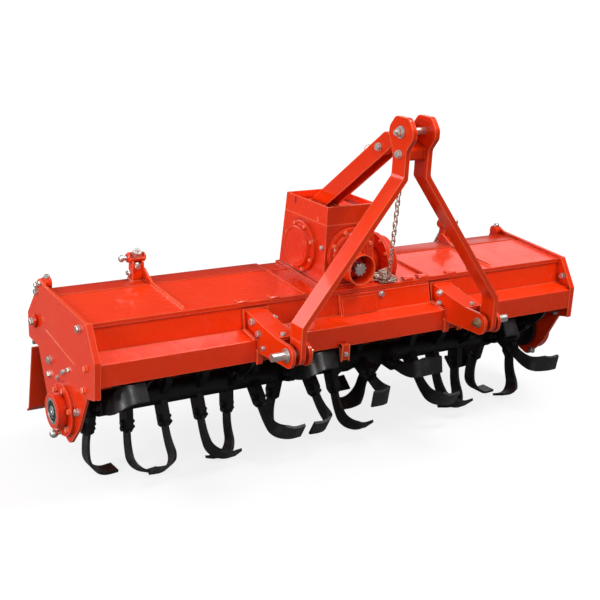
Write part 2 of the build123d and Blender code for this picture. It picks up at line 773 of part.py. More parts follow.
# ---- adjusting rods: pinned to the tailboard, their collars rest on the hangers -----------------------
rod_spare = 40.0            # rod above the hanger
collar_length = 20.0
collar_seat = rod_length + hanger_thickness / 2 + seat_gap


def adjusting_rod(side):
    bar = extrude(Plane.XY * Circle(rod_radius), rod_length + rod_spare)
    bar += Pos(0, 0, collar_seat) * extrude(Plane.XY * Circle(collar_radius), collar_length)
    bar = Pos(side * rod_x, *eye) * Rot(-rod_lean, 0, 0) * bar
    low, high = across(side, rod_x - eye_thickness / 2, rod_x + eye_thickness / 2)
    return bar + rod(rod_eye_radius, low, high, *eye) - rod(rod_pin_radius + running_fit, low, high, *eye)


save("adjusting_rods", adjusting_rod(-1), adjusting_rod(1))
pin_half = ear_near + ear_thickness + 4
pins = [rod(rod_pin_radius, side * rod_x - pin_half, side * rod_x + pin_half, *eye) for side in (-1, 1)]
save("rod_pins", *pins)

# ---- safety chain, from an eye on the left mast bar down to the deck's front edge ------------------------
start, finish = Vector(*chain_top), Vector(*chain_end)
run = (finish - start).normalized()
pitch = (finish - start).length / (chain_links - 1)
link_length = pitch + 2 * chain_wire + link_play
link_hole = SlotOverall(link_length - 2 * chain_wire, link_width - 2 * chain_wire)
link = extrude(SlotOverall(link_length, link_width) - link_hole, chain_wire / 2, both=True)
first_face = (Vector(1, 0, 0) - run * run.X).normalized()
faces = (first_face, run.cross(first_face))
links = [Plane(origin=start + run * pitch * index, x_dir=run, z_dir=faces[index % 2]) * link
         for index in range(chain_links)]
eye_rise = link_length / 2 - chain_wire - chain_eye_radius - seat_gap
eye_place = start - run * eye_rise
chain_eye = rod(chain_eye_radius, -head_x, start.X + link_width / 2, eye_place.Y, eye_place.Z)
save("safety_chain", *links, chain_eye)
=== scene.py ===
"""Visual model of a tractor-mounted rotavator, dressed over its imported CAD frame.

The CAD nodes keep their shapes and get real finishes. The pieces made here are what the solids leave out:
bolts and nuts, weld beads, turned caps, splines, strips and tabs, the swivel pins, and the round links of
the safety chain with its slack end.
"""
import json
import logging
import math
import random
from dataclasses import dataclass, field
from enum import Enum

import bmesh
import bpy
from mathutils import Matrix, Vector
from mathutils.bvhtree import BVHTree


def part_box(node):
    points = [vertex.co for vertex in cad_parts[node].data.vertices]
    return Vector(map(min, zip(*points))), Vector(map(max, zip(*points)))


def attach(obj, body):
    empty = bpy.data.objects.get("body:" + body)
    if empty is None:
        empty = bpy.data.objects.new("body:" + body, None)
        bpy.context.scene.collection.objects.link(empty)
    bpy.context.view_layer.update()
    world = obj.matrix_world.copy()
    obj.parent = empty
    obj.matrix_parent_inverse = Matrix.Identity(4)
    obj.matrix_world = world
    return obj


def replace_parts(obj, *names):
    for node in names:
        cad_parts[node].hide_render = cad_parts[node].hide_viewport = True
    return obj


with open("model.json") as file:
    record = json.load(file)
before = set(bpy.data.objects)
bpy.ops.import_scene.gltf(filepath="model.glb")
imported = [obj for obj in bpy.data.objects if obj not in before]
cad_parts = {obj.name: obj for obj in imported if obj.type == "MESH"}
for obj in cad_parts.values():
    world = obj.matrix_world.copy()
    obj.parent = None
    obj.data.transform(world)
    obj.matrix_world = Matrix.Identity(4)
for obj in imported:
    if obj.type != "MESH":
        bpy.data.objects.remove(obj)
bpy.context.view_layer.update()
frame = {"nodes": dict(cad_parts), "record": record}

LOG = logging.getLogger("rotavator")
MM = 0.001


# ---- places ------------------------------------------------------------------------------------------
def rotor_axis() -> Vector:
    """Returns the point on the rotor's axis that the machine's other places are measured from."""
    joints = frame["record"]["behaviour"]["joints"]
    return Vector(next(joint["pos_m"] for joint in joints if joint["name"] == "rotor_turn"))


AXLE = rotor_axis()
LEFT, RIGHT = Vector((-1, 0, 0)), Vector((1, 0, 0))
FRONT, BACK = Vector((0, -1, 0)), Vector((0, 1, 0))
UP = Vector((0, 0, 1))
SIDES = ((-1, "left", LEFT), (1, "right", RIGHT))

# Places that several pieces share, in millimetres from the rotor's axis.
PLATE_FACE = 1050.0         # the side plates' outer faces
HUB_FACE = 1100.0           # the left bearing housing's outer face
TOWER_SIDE = 107.0          # the tower's side walls
TOWER_FRONT = -117.0        # the tower's front wall
CAP_HEIGHT = 470.0          # the middles of the tower's round caps
SHAFT_HEIGHT = 427.0        # the power take-off shaft
LOWER_PIN = (-431.0, 246.0)
UPPER_PIN = (-440.0, 968.0)


def at(x: float, y: float, z: float) -> Vector:
    """Returns a point in the shared frame.

    Args:
        x: Millimetres across the machine from its middle.
        y: Millimetres behind the rotor's axis.
        z: Millimetres above the rotor's axis.
    """
    return AXLE + Vector((x, y, z)) * MM


# ---- colour and shader helpers -----------------------------------------------------------------------
def linear(colour: str) -> tuple[float, float, float, float]:
    """Returns an sRGB hex colour such as "#d8351a" as linear RGBA."""
    values = [int(colour[place:place + 2], 16) / 255 for place in (1, 3, 5)]
    return (*(v / 12.92 if v <= 0.04045 else ((v + 0.055) / 1.055) ** 2.4 for v in values), 1.0)


class Shader:
    """A material under construction: adds nodes and links them by socket name."""

    def __init__(self, name: str) -> None:
        """Starts a material with its Principled shader and object coordinates.

        Args:
            name: The material's name.
        """
        self.material = bpy.data.materials.new(name)
        self.material.use_nodes = True
        self.tree = self.material.node_tree
        self.surface = self.tree.nodes["Principled BSDF"]
        self.place = self.add("ShaderNodeTexCoord").outputs["Object"]

    def add(self, kind: str, **values):
        """Adds a node; each value is a socket to link, a constant for a socket, or a node property."""
        node = self.tree.nodes.new(kind)
        for key, value in values.items():
            socket = node.inputs.get(key.replace("_", " "))
            if socket is None:
                setattr(node, key.lower(), value)
            elif isinstance(value, bpy.types.NodeSocket):
                self.tree.links.new(value, socket)
            else:
                socket.default_value = value
        return node

    def noise(self, grain: float, detail: float = 3.0, stretch=(1, 1, 1)):
        """Returns a noise value whose lumps are about grain metres across."""
        mapping = self.add("ShaderNodeMapping", Vector=self.place, Scale=stretch)
        return self.add("ShaderNodeTexNoise", Vector=mapping.outputs["Vector"], Scale=1 / grain,
                        Detail=detail).outputs["Fac"]

    def band(self, value, low: float, high: float, start: float = 0.0, stop: float = 1.0):
        """Returns value mapped from low..high onto start..stop and held at the ends."""
        node = self.add("ShaderNodeMapRange", Value=value)
        for key, number in (("From Min", low), ("From Max", high), ("To Min", start), ("To Max", stop)):
            node.inputs[key].default_value = number
        return node.outputs["Result"]

    def corner(self, reach: float, inside: bool, low: float, high: float):
        """Returns 0..1 for how open the surface is within reach: low in hollows, or on outer edges."""
        node = self.add("ShaderNodeAmbientOcclusion", Distance=reach)
        node.samples = 8
        node.inside = inside
        node.only_local = inside
        return self.band(node.outputs["AO"], low, high)

    def mix(self, factor, first, second):
        """Returns a colour between two colours, each a hex string or a socket."""
        node = self.tree.nodes.new("ShaderNodeMix")
        node.data_type = "RGBA"
        colours = [socket for socket in node.inputs if socket.type == "RGBA"]
        self.tree.links.new(factor, node.inputs[0])
        for socket, colour in zip(colours, (first, second)):
            if isinstance(colour, str):
                socket.default_value = linear(colour)
            else:
                self.tree.links.new(colour, socket)
        return next(socket for socket in node.outputs if socket.type == "RGBA")

    def bump(self, height, depth: float, under=None):
        """Returns a normal for a relief of depth metres, on top of another normal if one is given."""
        node = self.add("ShaderNodeBump", Height=height, Strength=1.0, Distance=depth)
        if under is not None:
            self.tree.links.new(under, node.inputs["Normal"])
        return node.outputs["Normal"]

    def finish(self, **sockets) -> bpy.types.Material:
        """Sets the surface's sockets, by link or by constant, and returns the material."""
        for key, value in sockets.items():
            socket = self.surface.inputs[key.replace("_", " ")]
            if isinstance(value, bpy.types.NodeSocket):
                self.tree.links.new(value, socket)
            else:
                socket.default_value = value
        return self.material


# ---- finishes ----------------------------------------------------------------------------------------
@dataclass(frozen=True)
class Paint:
    """Sprayed machinery enamel, glossy, with faint runs of tone and the waves of thin folded sheet, with painted
    shade in its corners and a painted highlight on its edges.
    """

    name: str
    colour: str
    shade: str
    # hollow: the colour of the painted shade in corners and creases
    hollow: str = "#8f1402"
    # edge: the colour of the painted highlight on outer edges
    edge: str = "#ff7850"
    gloss: float = 0.26
    coat: float = 0.34
    peel: float = 0.00003
    wave: float = 0.00008

    def build(self) -> bpy.types.Material:
        """Returns the paint as a procedural material."""
        s = Shader(self.name)
        tone = s.mix(s.band(s.noise(0.35, 4), 0.35, 0.7), self.colour, self.shade)
        # fine dry overspray and dust that lies in soft patches
        dust = s.band(s.noise(0.045, 6), 0.55, 0.8, 0.0, 0.05)
        tone = s.mix(dust, tone, "#c9958a")
        # painted shade: the colour darkens towards the hollow colour in corners, creases and recesses, where the
        # surface is closed in
        tone = s.mix(s.corner(0.022, False, 0.35, 0.85), self.hollow, tone)
        # painted highlight: the colour brightens towards the edge colour over outer edges, as if they caught the
        # light
        tone = s.mix(s.corner(0.0036, True, 0.93, 0.55), tone, self.edge)
        rough = s.band(s.noise(0.09, 5), 0.3, 0.75, self.gloss - 0.05, self.gloss + 0.10)
        normal = s.bump(s.noise(0.0022, 2), self.peel)
        if self.wave:
            normal = s.bump(s.noise(0.3, 0.0), self.wave, normal)
        return s.finish(Base_Color=tone, Roughness=rough, Normal=normal, Coat_Weight=self.coat,
                        Coat_Roughness=0.04, IOR=1.5, Specular_IOR_Level=0.22)


@dataclass(frozen=True)
class ForgedBlack:
    """Satin black dip paint over forged steel: dull scale, with a browner bloom and thin worn glints."""

    name: str
    colour: str = "#1c1c1f"
    worn: str = "#37332f"
    gloss: float = 0.3
    coat: float = 0.12

    def build(self) -> bpy.types.Material:
        """Returns the black finish as a procedural material."""
        s = Shader(self.name)
        patch = s.band(s.noise(0.03, 6), 0.5, 0.72)
        tone = s.mix(patch, self.colour, self.worn)
        rough = s.band(s.noise(0.012, 5), 0.3, 0.75, self.gloss, self.gloss + 0.22)
        normal = s.bump(s.noise(0.006, 5), 0.00022)
        return s.finish(Base_Color=tone, Roughness=rough, Normal=normal, Coat_Weight=self.coat,
                        Coat_Roughness=0.25)


@dataclass(frozen=True)
class Metal:
    """Bare or plated metal: light zinc with a cloudy bloom, or a turned shaft with fine tool lines."""

    name: str
    colour: str
    bloom: str
    roughness: float
    grain: float = 0.012
    lines: tuple = (1, 1, 1)

    def build(self) -> bpy.types.Material:
        """Returns the metal as a procedural material."""
        s = Shader(self.name)
        tone = s.mix(s.band(s.noise(self.grain, 4), 0.4, 0.7), self.colour, self.bloom)
        rough = s.band(s.noise(self.grain / 3, 4, self.lines), 0.3, 0.7,
                       self.roughness, self.roughness + 0.16)
        normal = s.bump(s.noise(self.grain / 6, 3, self.lines), 0.00003)
        return s.finish(Base_Color=tone, Metallic=1.0, Roughness=rough, Normal=normal)


@dataclass(frozen=True)
class Rusted:
    """Zinc wearing off a chain: brown rust in the hollows, dull metal where the links rub."""

    name: str

    def build(self) -> bpy.types.Material:
        """Returns the rusty finish as a procedural material."""
        s = Shader(self.name)
        spots = s.band(s.noise(0.009, 6), 0.42, 0.6)
        tone = s.mix(spots, "#e2ddd2", "#a96d47")
        metal = s.band(spots, 0.0, 1.0, 0.75, 0.1)
        rough = s.band(spots, 0.0, 1.0, 0.36, 0.75)
        return s.finish(Base_Color=tone, Metallic=metal, Roughness=rough,
                        Normal=s.bump(s.noise(0.002, 4), 0.0001))


RED = Paint("red_enamel_on_folded_sheet", "#f43a0a", "#ee3408")
# a darker copy of the red enamel, as painted shade on the outer lengths of the level rear strip
RED_STRIP_PAINTED_SHADE = Paint("red_enamel_darkened_as_painted_shade", "#cf2f0c", "#c4290a", gloss=0.32, coat=0.2)
RED_CAST = Paint("red_enamel_on_casting", "#f0380a", "#e22e08", gloss=0.26, peel=0.0001, wave=0.0)
RED_PLATE = Paint("red_enamel_on_heavy_plate", "#f43a0a", "#ec3208", gloss=0.2, wave=0.0001)
BLACK = ForgedBlack("satin_black_dip_paint")
# the rotor tube's black paint, made darker than the blades' black: partly its own black, partly painted shade
# under the hood
TUBE_BLACK_WITH_PAINTED_SHADE = ForgedBlack("dull_black_paint_with_painted_shade_on_tube", "#0b0b0c", "#171514", 0.45, 0.0)
ZINC = Metal("zinc_plating", "#e4e4e0", "#c6c5be", 0.36)
TURNED = Metal("turned_steel", "#eceae6", "#cfcdc8", 0.34, 0.004, (1, 40, 1))
BRASS = Metal("yellow_passivated_zinc", "#c4b480", "#a9a486", 0.3)
CHAIN_RUST = Rusted("worn_rusting_chain")
FINISHES = (RED, RED_STRIP_PAINTED_SHADE, RED_CAST, RED_PLATE, BLACK, TUBE_BLACK_WITH_PAINTED_SHADE, ZINC, TURNED, BRASS, CHAIN_RUST)
MATERIALS: dict[str, bpy.types.Material] = {}

NODE_FINISH = {
    "side_plate_left": RED_PLATE, "side_plate_right": RED_PLATE, "hitch_bracket_left": RED_PLATE,
    "hitch_bracket_right": RED_PLATE, "mast_bar_left": RED_PLATE, "mast_bar_right": RED_PLATE,
    "mast_strut": RED_PLATE, "mast_lug": RED_PLATE,
    "gearbox_casing": RED_CAST, "side_bearing_cap": RED_CAST,
    "input_bearing_cap": RED_CAST, "drop_gear_housing": RED_CAST, "drive_case_right": RED_CAST,
    "bearing_housing_left": RED_CAST, "hinge_rod": ZINC, "lower_pin_left": ZINC, "lower_pin_right": ZINC,
    "mast_pin": ZINC, "input_shaft": TURNED, "rod_pins": ZINC,
    "adjusting_rods": ZINC, "rotor_tube": TUBE_BLACK_WITH_PAINTED_SHADE,
    "safety_chain": CHAIN_RUST,
    "blades_right_hand": BLACK, "blades_left_hand": BLACK,
}
SOFT_EDGES = {
    "side_plate_left": 2.2, "side_plate_right": 2.2, "hitch_bracket_left": 2.4, "hitch_bracket_right": 2.4,
    "mast_bar_left": 2.6, "mast_bar_right": 2.6, "gearbox_casing": 4.0,
    "tower_tray": 2.0, "front_beam": 3.0,
    "drop_gear_housing": 4.5, "blades_right_hand": 1.2,
    "blades_left_hand": 1.2, "mast_strut": 2.0, "mast_lug": 2.0,
    "top_cover_left": 1.2, "top_cover_right": 1.2,
    "centre_deck": 1.2, "tailboard": 1.0, "drive_case_right": 4.0, "bearing_housing_left": 4.0,
    "front_panel_left": 1.2, "front_panel_right": 1.2, "centre_panel": 1.5, "rear_cover": 1.2,
    "rear_post_left": 1.0, "rear_post_right": 1.0, "post_rib_left": 1.0, "post_rib_right": 1.0,
}


def dress_nodes() -> None:
    """Gives each CAD node its finish and softens its sharp edges as bending, grinding and paint do."""
    for name, node in frame["nodes"].items():
        material = MATERIALS[NODE_FINISH.get(name, RED).name]
        node.data.materials.clear()
        node.data.materials.append(material)
        if name in SOFT_EDGES:
            soften = node.modifiers.new("soft_edges", "BEVEL")
            soften.width = SOFT_EDGES[name] * MM
            soften.segments = 2
            soften.limit_method = "ANGLE"
            soften.angle_limit = math.radians(32)
            soften.use_clamp_overlap = True
            soften.harden_normals = True


# ---- meshes ------------------------------------------------------------------------------------------
def keep(name: str, mesh: bpy.types.Mesh, finish, body: str, smooth: float = 35.0) -> bpy.types.Object:
    """Finishes one piece: names it, paints it, and makes it ride on a CAD body.

    Args:
        name: Plain name of the piece.
        mesh: Its mesh, in the shared frame.
        finish: One of the finishes.
        body: The CAD body that it moves with.
        smooth: Angle in degrees below which neighbouring faces shade as one curve.
    """
    mesh.name = name
    piece = bpy.data.objects.new(name, mesh)
    bpy.context.scene.collection.objects.link(piece)
    mesh.materials.clear()
    mesh.materials.append(MATERIALS[finish.name])
    mesh.shade_smooth()
    mesh.set_sharp_from_angle(angle=math.radians(smooth))
    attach(piece, body)
    LOG.info("%s: %d faces on %s", name, len(mesh.polygons), body)
    return piece


def outward(bm: bmesh.types.BMesh) -> bpy.types.Mesh:
    """Returns the finished mesh of a bmesh, with its faces turned outward."""
    bmesh.ops.recalc_face_normals(bm, faces=bm.faces)
    mesh = bpy.data.meshes.new("piece")
    bm.to_mesh(mesh)
    bm.free()
    return mesh


def facing_matrix(direction: Vector, place: Vector) -> Matrix:
    """Returns a matrix that stands local +Z along a direction at a place."""
    return Matrix.Translation(place) @ direction.to_track_quat("Z", "Y").to_matrix().to_4x4()


def lathe(bm, profile, direction: Vector, place: Vector, sides: int = 32) -> None:
    """Turns a closed profile of (radius, height) pairs in millimetres about a direction at a place."""
    matrix = facing_matrix(direction, place)
    rings = []
    for radius, height in profile:
        if radius == 0:
            rings.append([bm.verts.new(matrix @ Vector((0, 0, height * MM)))])
            continue
        ring = []
        for index in range(sides):
            angle = 2 * math.pi * index / sides
            local = Vector((radius * math.cos(angle), radius * math.sin(angle), height)) * MM
            ring.append(bm.verts.new(matrix @ local))
        rings.append(ring)
    for lower, upper in zip(rings, rings[1:]):
        for index in range(sides):
            after = (index + 1) % sides
            corners = [lower[index % len(lower)], lower[after % len(lower)],
                       upper[after % len(upper)], upper[index % len(upper)]]
            unique = list(dict.fromkeys(corners))
            if len(unique) > 2:
                bm.faces.new(unique)


def prism(bm, outline, x_low: float, x_high: float) -> None:
    """Adds a plate across X from its (y, z) outline in millimetres."""
    sides = [[bm.verts.new(at(x, y, z)) for y, z in outline] for x in (x_low, x_high)]
    bm.faces.new(sides[0])
    bm.faces.new(sides[1][::-1])
    for index in range(len(outline)):
        after = (index + 1) % len(outline)
        bm.faces.new((sides[0][index], sides[0][after], sides[1][after], sides[1][index]))


def rounded(bm, width: float = 1.0, angle: float = 30.0) -> None:
    """Rounds the edges of a bmesh that turn more than an angle, by a width in millimetres."""
    bmesh.ops.recalc_face_normals(bm, faces=bm.faces)
    edges = [edge for edge in bm.edges
             if edge.is_manifold and edge.calc_face_angle(0) > math.radians(angle)]
    bmesh.ops.bevel(bm, geom=edges, offset=width * MM, segments=2, affect="EDGES", profile=0.6)


class Skin:
    """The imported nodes' surfaces, for seating small parts on them."""

    def __init__(self) -> None:
        """Starts without search trees; each is made when it is first asked for."""
        self.trees: dict[str, BVHTree] = {}

    def tree(self, node: str) -> BVHTree:
        """Returns the search tree of a CAD node's own mesh."""
        if node not in self.trees:
            mesh = frame["nodes"][node].data
            places = [frame["nodes"][node].matrix_world @ v.co for v in mesh.vertices]
            self.trees[node] = BVHTree.FromPolygons(places, [list(p.vertices) for p in mesh.polygons])
        return self.trees[node]

    def seat(self, node: str, start: Vector, facing: Vector, reach: float = 0.08) -> Vector:
        """Returns where a fastener that faces a direction sits on a node.

        Args:
            node: The node that it is screwed into.
            start: A point near the surface.
            facing: The way its head points.
            reach: How far in front of the point the search starts, in metres.
        """
        hit = self.tree(node).ray_cast(start + facing * reach, -facing, 2 * reach)
        if hit[0] is None:
            LOG.warning("no surface of %s behind %s", node, tuple(round(v, 3) for v in start))
            return start
        return hit[0]


SKIN = Skin()


# ---- fasteners ---------------------------------------------------------------------------------------
class Head(Enum):
    """How a fastener ends: a bolt's head, or a nut with the bolt's thread through it."""

    BOLT = 0.0
    NUT = 0.34


@dataclass(frozen=True)
class Fastener:
    """One bolt or nut: where it sits, the way it faces, and its size across the flats in millimetres."""

    place: Vector
    facing: Vector
    flats: float
    turn: float = 0.0


@dataclass
class FastenerSet:
    """All fasteners of one kind and finish on a body, laid out by Geometry Nodes as one mesh."""

    name: str
    body: str
    finish: object
    head: Head = Head.BOLT
    items: list = field(default_factory=list)

    def on(self, node: str, place: Vector, facing: Vector, flats: float, turn: float = 0.0) -> None:
        """Seats one fastener on a node's surface."""
        self.items.append(Fastener(SKIN.seat(node, place, facing), facing, flats, turn))

    def ring(self, node: str, centre: Vector, facing: Vector, radius: float, count: int, flats: float,
             first: float = 0.0, low: float = -math.inf) -> None:
        """Seats a bolt circle on a node, leaving out the places below a height."""
        matrix = facing_matrix(facing, centre)
        for index in range(count):
            angle = math.radians(first) + 2 * math.pi * index / count
            place = matrix @ (Vector((math.cos(angle), math.sin(angle), 0)) * radius * MM)
            if place.z > low:
                self.on(node, place, facing, flats, angle)

    def build(self) -> bpy.types.Object:
        """Returns the finished set as one piece."""
        mesh = bpy.data.meshes.new(self.name)
        mesh.from_pydata([item.place for item in self.items], [], [])
        columns = {
            "facing": ("FLOAT_VECTOR", "vector", [tuple(item.facing) for item in self.items]),
            "flats": ("FLOAT", "value", [item.flats * MM for item in self.items]),
            "turn": ("FLOAT_VECTOR", "vector", [(0.0, 0.0, item.turn) for item in self.items]),
        }
        for name, (kind, _, _) in columns.items():
            mesh.attributes.new(name, kind, "POINT")
        for name, (_, key, values) in columns.items():
            for point, value in zip(mesh.attributes[name].data, values):
                setattr(point, key, value)
        tree = fastener_tree()
        made = evaluate(mesh, tree, {"Thread Length": self.head.value,
                                     "Material": MATERIALS[self.finish.name]})
        return keep(self.name, made, self.finish, self.body, 25)


class Graph:
    """A geometry node tree under construction, with named inputs."""

    def __init__(self, name: str, inputs: dict[str, str]) -> None:
        """Starts a group that takes and returns a geometry.

        Args:
            name: The group's name.
            inputs: Each further input's socket type, by its name.
        """
        self.tree = bpy.data.node_groups.new(name, "GeometryNodeTree")
        self.tree.interface.new_socket("Geometry", in_out="INPUT", socket_type="NodeSocketGeometry")
        for key, kind in inputs.items():
            self.tree.interface.new_socket(key, in_out="INPUT", socket_type=kind)
        self.tree.interface.new_socket("Geometry", in_out="OUTPUT", socket_type="NodeSocketGeometry")
        self.given = self.tree.nodes.new("NodeGroupInput").outputs
        self.result = self.tree.nodes.new("NodeGroupOutput").inputs

    def add(self, kind: str, settings: dict | None = None, **values):
        """Adds a node; settings are its properties, values its sockets by name or by index_N."""
        node = self.tree.nodes.new(kind)
        for key, value in (settings or {}).items():
            setattr(node, key, value)
        for key, value in values.items():
            label = int(key[6:]) if key.startswith("index_") else key.replace("_", " ")
            socket = node.inputs[label]
            several = value if isinstance(value, list) else [value]
            for item in several:
                if isinstance(item, bpy.types.NodeSocket):
                    self.tree.links.new(item, socket)
                else:
                    socket.default_value = item
        return node

    def attribute(self, name: str, kind: str):
        """Returns the output of a named attribute of the points."""
        node = self.add("GeometryNodeInputNamedAttribute", {"data_type": kind}, Name=name)
        return next(socket for socket in node.outputs if socket.enabled and socket.name == "Attribute")

    def moved(self, geometry, z: float, scale=(1, 1, 1)):
        """Returns geometry moved up local Z."""
        return self.add("GeometryNodeTransform", Geometry=geometry, Translation=(0, 0, z),
                        Scale=scale).outputs["Geometry"]

    def end(self, geometry) -> None:
        """Realizes the instances, sets the material and closes the tree."""
        real = self.add("GeometryNodeRealizeInstances", Geometry=geometry).outputs["Geometry"]
        painted = self.add("GeometryNodeSetMaterial", Geometry=real, Material=self.given["Material"])
        self.tree.links.new(painted.outputs["Geometry"], self.result["Geometry"])


def fastener_tree() -> bpy.types.NodeTree:
    """Returns the tree that stands a washer and a chamfered hexagon on every point."""
    if "fasteners" in bpy.data.node_groups:
        return bpy.data.node_groups["fasteners"]
    g = Graph("fasteners", {"Thread Length": "NodeSocketFloat", "Material": "NodeSocketMaterial"})
    across = 1 / math.sqrt(3)
    washer = g.add("GeometryNodeMeshCylinder", Vertices=20, Radius=0.63, Depth=0.13).outputs["Mesh"]
    hexagon = g.add("GeometryNodeMeshCylinder", Vertices=6, Radius=across, Depth=0.36).outputs["Mesh"]
    crown = g.add("GeometryNodeMeshCone", Vertices=6, Radius_Top=across * 0.86, Radius_Bottom=across,
                  Depth=0.07).outputs["Mesh"]
    thread = g.add("GeometryNodeMeshCylinder", Vertices=14, Radius=0.3, Depth=1.0).outputs["Mesh"]
    stretch = g.add("ShaderNodeCombineXYZ", X=1.0, Y=1.0, Z=g.given["Thread Length"]).outputs["Vector"]
    thread = g.add("GeometryNodeTransform", Geometry=thread, Translation=(0, 0, 0.5)).outputs["Geometry"]
    thread = g.add("GeometryNodeTransform", Geometry=thread, Scale=stretch).outputs["Geometry"]
    parts = [g.moved(washer, 0.055), g.moved(hexagon, 0.29), g.moved(crown, 0.47), g.moved(thread, 0.5)]
    whole = g.add("GeometryNodeJoinGeometry", Geometry=parts).outputs["Geometry"]
    turned = g.add("FunctionNodeAlignRotationToVector", {"axis": "Z"},
                   Vector=g.attribute("facing", "FLOAT_VECTOR"))
    spin = g.add("FunctionNodeEulerToRotation", Euler=g.attribute("turn", "FLOAT_VECTOR"))
    rotation = g.add("FunctionNodeRotateRotation", {"rotation_space": "LOCAL"},
                     Rotation=turned.outputs["Rotation"], Rotate_By=spin.outputs["Rotation"])
    placed = g.add("GeometryNodeInstanceOnPoints", Points=g.given["Geometry"], Instance=whole,
                   Rotation=rotation.outputs["Rotation"], Scale=g.attribute("flats", "FLOAT"))
    g.end(placed.outputs["Instances"])
    return g.tree


def evaluate(mesh: bpy.types.Mesh, tree: bpy.types.NodeTree, values: dict) -> bpy.types.Mesh:
    """Runs a tree on a mesh and returns the result as a plain mesh.

    Args:
        mesh: The points or lines that the tree works on.
        tree: The node tree.
        values: Its inputs by name.
    """
    carrier = bpy.data.objects.new("carrier", mesh)
    bpy.context.scene.collection.objects.link(carrier)
    layout = carrier.modifiers.new("layout", "NODES")
    layout.node_group = tree
    for item in tree.interface.items_tree:
        if item.item_type == "SOCKET" and item.in_out == "INPUT" and item.name in values:
            layout[item.identifier] = values[item.name]
    carrier.data.update()
    carrier.update_tag()
    bpy.context.view_layer.update()
    shown = carrier.evaluated_get(bpy.context.evaluated_depsgraph_get())
    made = bpy.data.meshes.new_from_object(shown)
    bpy.data.objects.remove(carrier)
    return made


# ---- weld beads --------------------------------------------------------------------------------------
def bead_tree() -> bpy.types.NodeTree:
    """Returns the tree that lays overlapping flattened drops of weld along lines."""
    if "weld_beads" in bpy.data.node_groups:
        return bpy.data.node_groups["weld_beads"]
    g = Graph("weld_beads", {"Step": "NodeSocketFloat", "Bead Radius": "NodeSocketFloat",
                             "Seed": "NodeSocketInt",
                             "Material": "NodeSocketMaterial"})
    line = g.add("GeometryNodeMeshToCurve", Mesh=g.given["Geometry"]).outputs["Curve"]
    resample = g.add("GeometryNodeResampleCurve", Curve=line)
    resample.mode = "LENGTH"
    g.tree.links.new(g.given["Step"], resample.inputs["Length"])
    drop = g.add("GeometryNodeMeshUVSphere", Segments=8, Rings=5, Radius=1.0).outputs["Mesh"]
    drop = g.moved(drop, 0.0, (1.0, 1.0, 0.62))
    tangent = g.add("GeometryNodeInputTangent").outputs["Tangent"]
    rotation = g.add("FunctionNodeAlignRotationToVector", {"axis": "Z"}, Vector=tangent).outputs["Rotation"]
    jitter = g.add("FunctionNodeRandomValue", {"data_type": "FLOAT"}, Seed=g.given["Seed"])
    low, high = [socket for socket in jitter.inputs if socket.enabled and socket.name in ("Min", "Max")]
    low.default_value, high.default_value = 0.85, 1.15
    factor = next(socket for socket in jitter.outputs if socket.enabled)
    size = g.add("ShaderNodeMath", {"operation": "MULTIPLY"}, index_0=factor,
                 index_1=g.given["Bead Radius"])
    placed = g.add("GeometryNodeInstanceOnPoints", Points=resample.outputs["Curve"], Instance=drop,
                   Rotation=rotation, Scale=size.outputs["Value"])
    g.end(placed.outputs["Instances"])
    return g.tree


def seam_edges(node: str, other: str, gap: float) -> list[tuple[Vector, Vector]]:
    """Returns the sharp edges of a node that lie on another node, where a welder would run a bead."""
    mesh = frame["nodes"][node].data
    tree = SKIN.tree(other)
    bm = bmesh.new()
    bm.from_mesh(mesh)
    bmesh.ops.remove_doubles(bm, verts=bm.verts, dist=1e-6)
    found = []
    for edge in bm.edges:
        if edge.is_manifold and edge.calc_face_angle(0) < math.radians(30):
            continue
        ends = [v.co.copy() for v in edge.verts]
        middle = (ends[0] + ends[1]) / 2
        if all(tree.find_nearest(p, gap)[0] is not None for p in (*ends, middle)):
            found.append(tuple(ends))
    bm.free()
    return found


@dataclass
class WeldRun:
    """The weld beads of one body, painted over with the machine."""

    name: str
    body: str
    finish: object
    radius: float = 3.2
    lines: list = field(default_factory=list)

    def seam(self, node: str, other: str, gap: float = 0.0012) -> None:
        """Adds a bead where a node stands on another."""
        edges = seam_edges(node, other, gap)
        if not edges:
            LOG.warning("no seam between %s and %s", node, other)
        self.lines.extend(edges)

    def build(self) -> bpy.types.Object:
        """Returns the beads as one piece."""
        bm = bmesh.new()
        for first, second in self.lines:
            bm.edges.new((bm.verts.new(first), bm.verts.new(second)))
        bmesh.ops.remove_doubles(bm, verts=bm.verts, dist=1e-5)
        mesh = bpy.data.meshes.new(self.name)
        bm.to_mesh(mesh)
        bm.free()
        made = evaluate(mesh, bead_tree(), {"Step": self.radius * 0.9 * MM, "Bead Radius": self.radius * MM,
                                            "Seed": 7, "Material": MATERIALS[self.finish.name]})
        return keep(self.name, made, self.finish, self.body, 60)


# ---- sub-assemblies ----------------------------------------------------------------------------------
def splined(bm, axis: Vector, sections: list[tuple[float, float]], outer: float, root: float,
            splines: int) -> None:
    """Adds a closed splined bar along Y.

    Args:
        bm: The mesh under construction.
        axis: A point on the bar's middle line.
        sections: Distance along Y from that point and growth of both radii, front to back.
        outer: Radius over the splines.
        root: Radius between them.
        splines: How many there are.
    """
    rings = []
    steps = splines * 8
    for y, grow in sections:
        ring = []
        for index in range(steps):
            phase = index % 8
            radius = (outer if phase < 4 else root) + grow
            flank = {4: 0.35, 7: -0.35}.get(phase, 0.0)
            angle = 2 * math.pi * (index + flank) / steps
            spot = Vector((radius * math.cos(angle), y, radius * math.sin(angle)))
            ring.append(bm.verts.new(axis + spot * MM))
        rings.append(ring)
    bm.faces.new(rings[0])
    for lower, upper in zip(rings, rings[1:]):
        for index in range(steps):
            after = (index + 1) % steps
            bm.faces.new((lower[index], lower[after], upper[after], upper[index]))
    bm.faces.new(rings[-1][::-1])


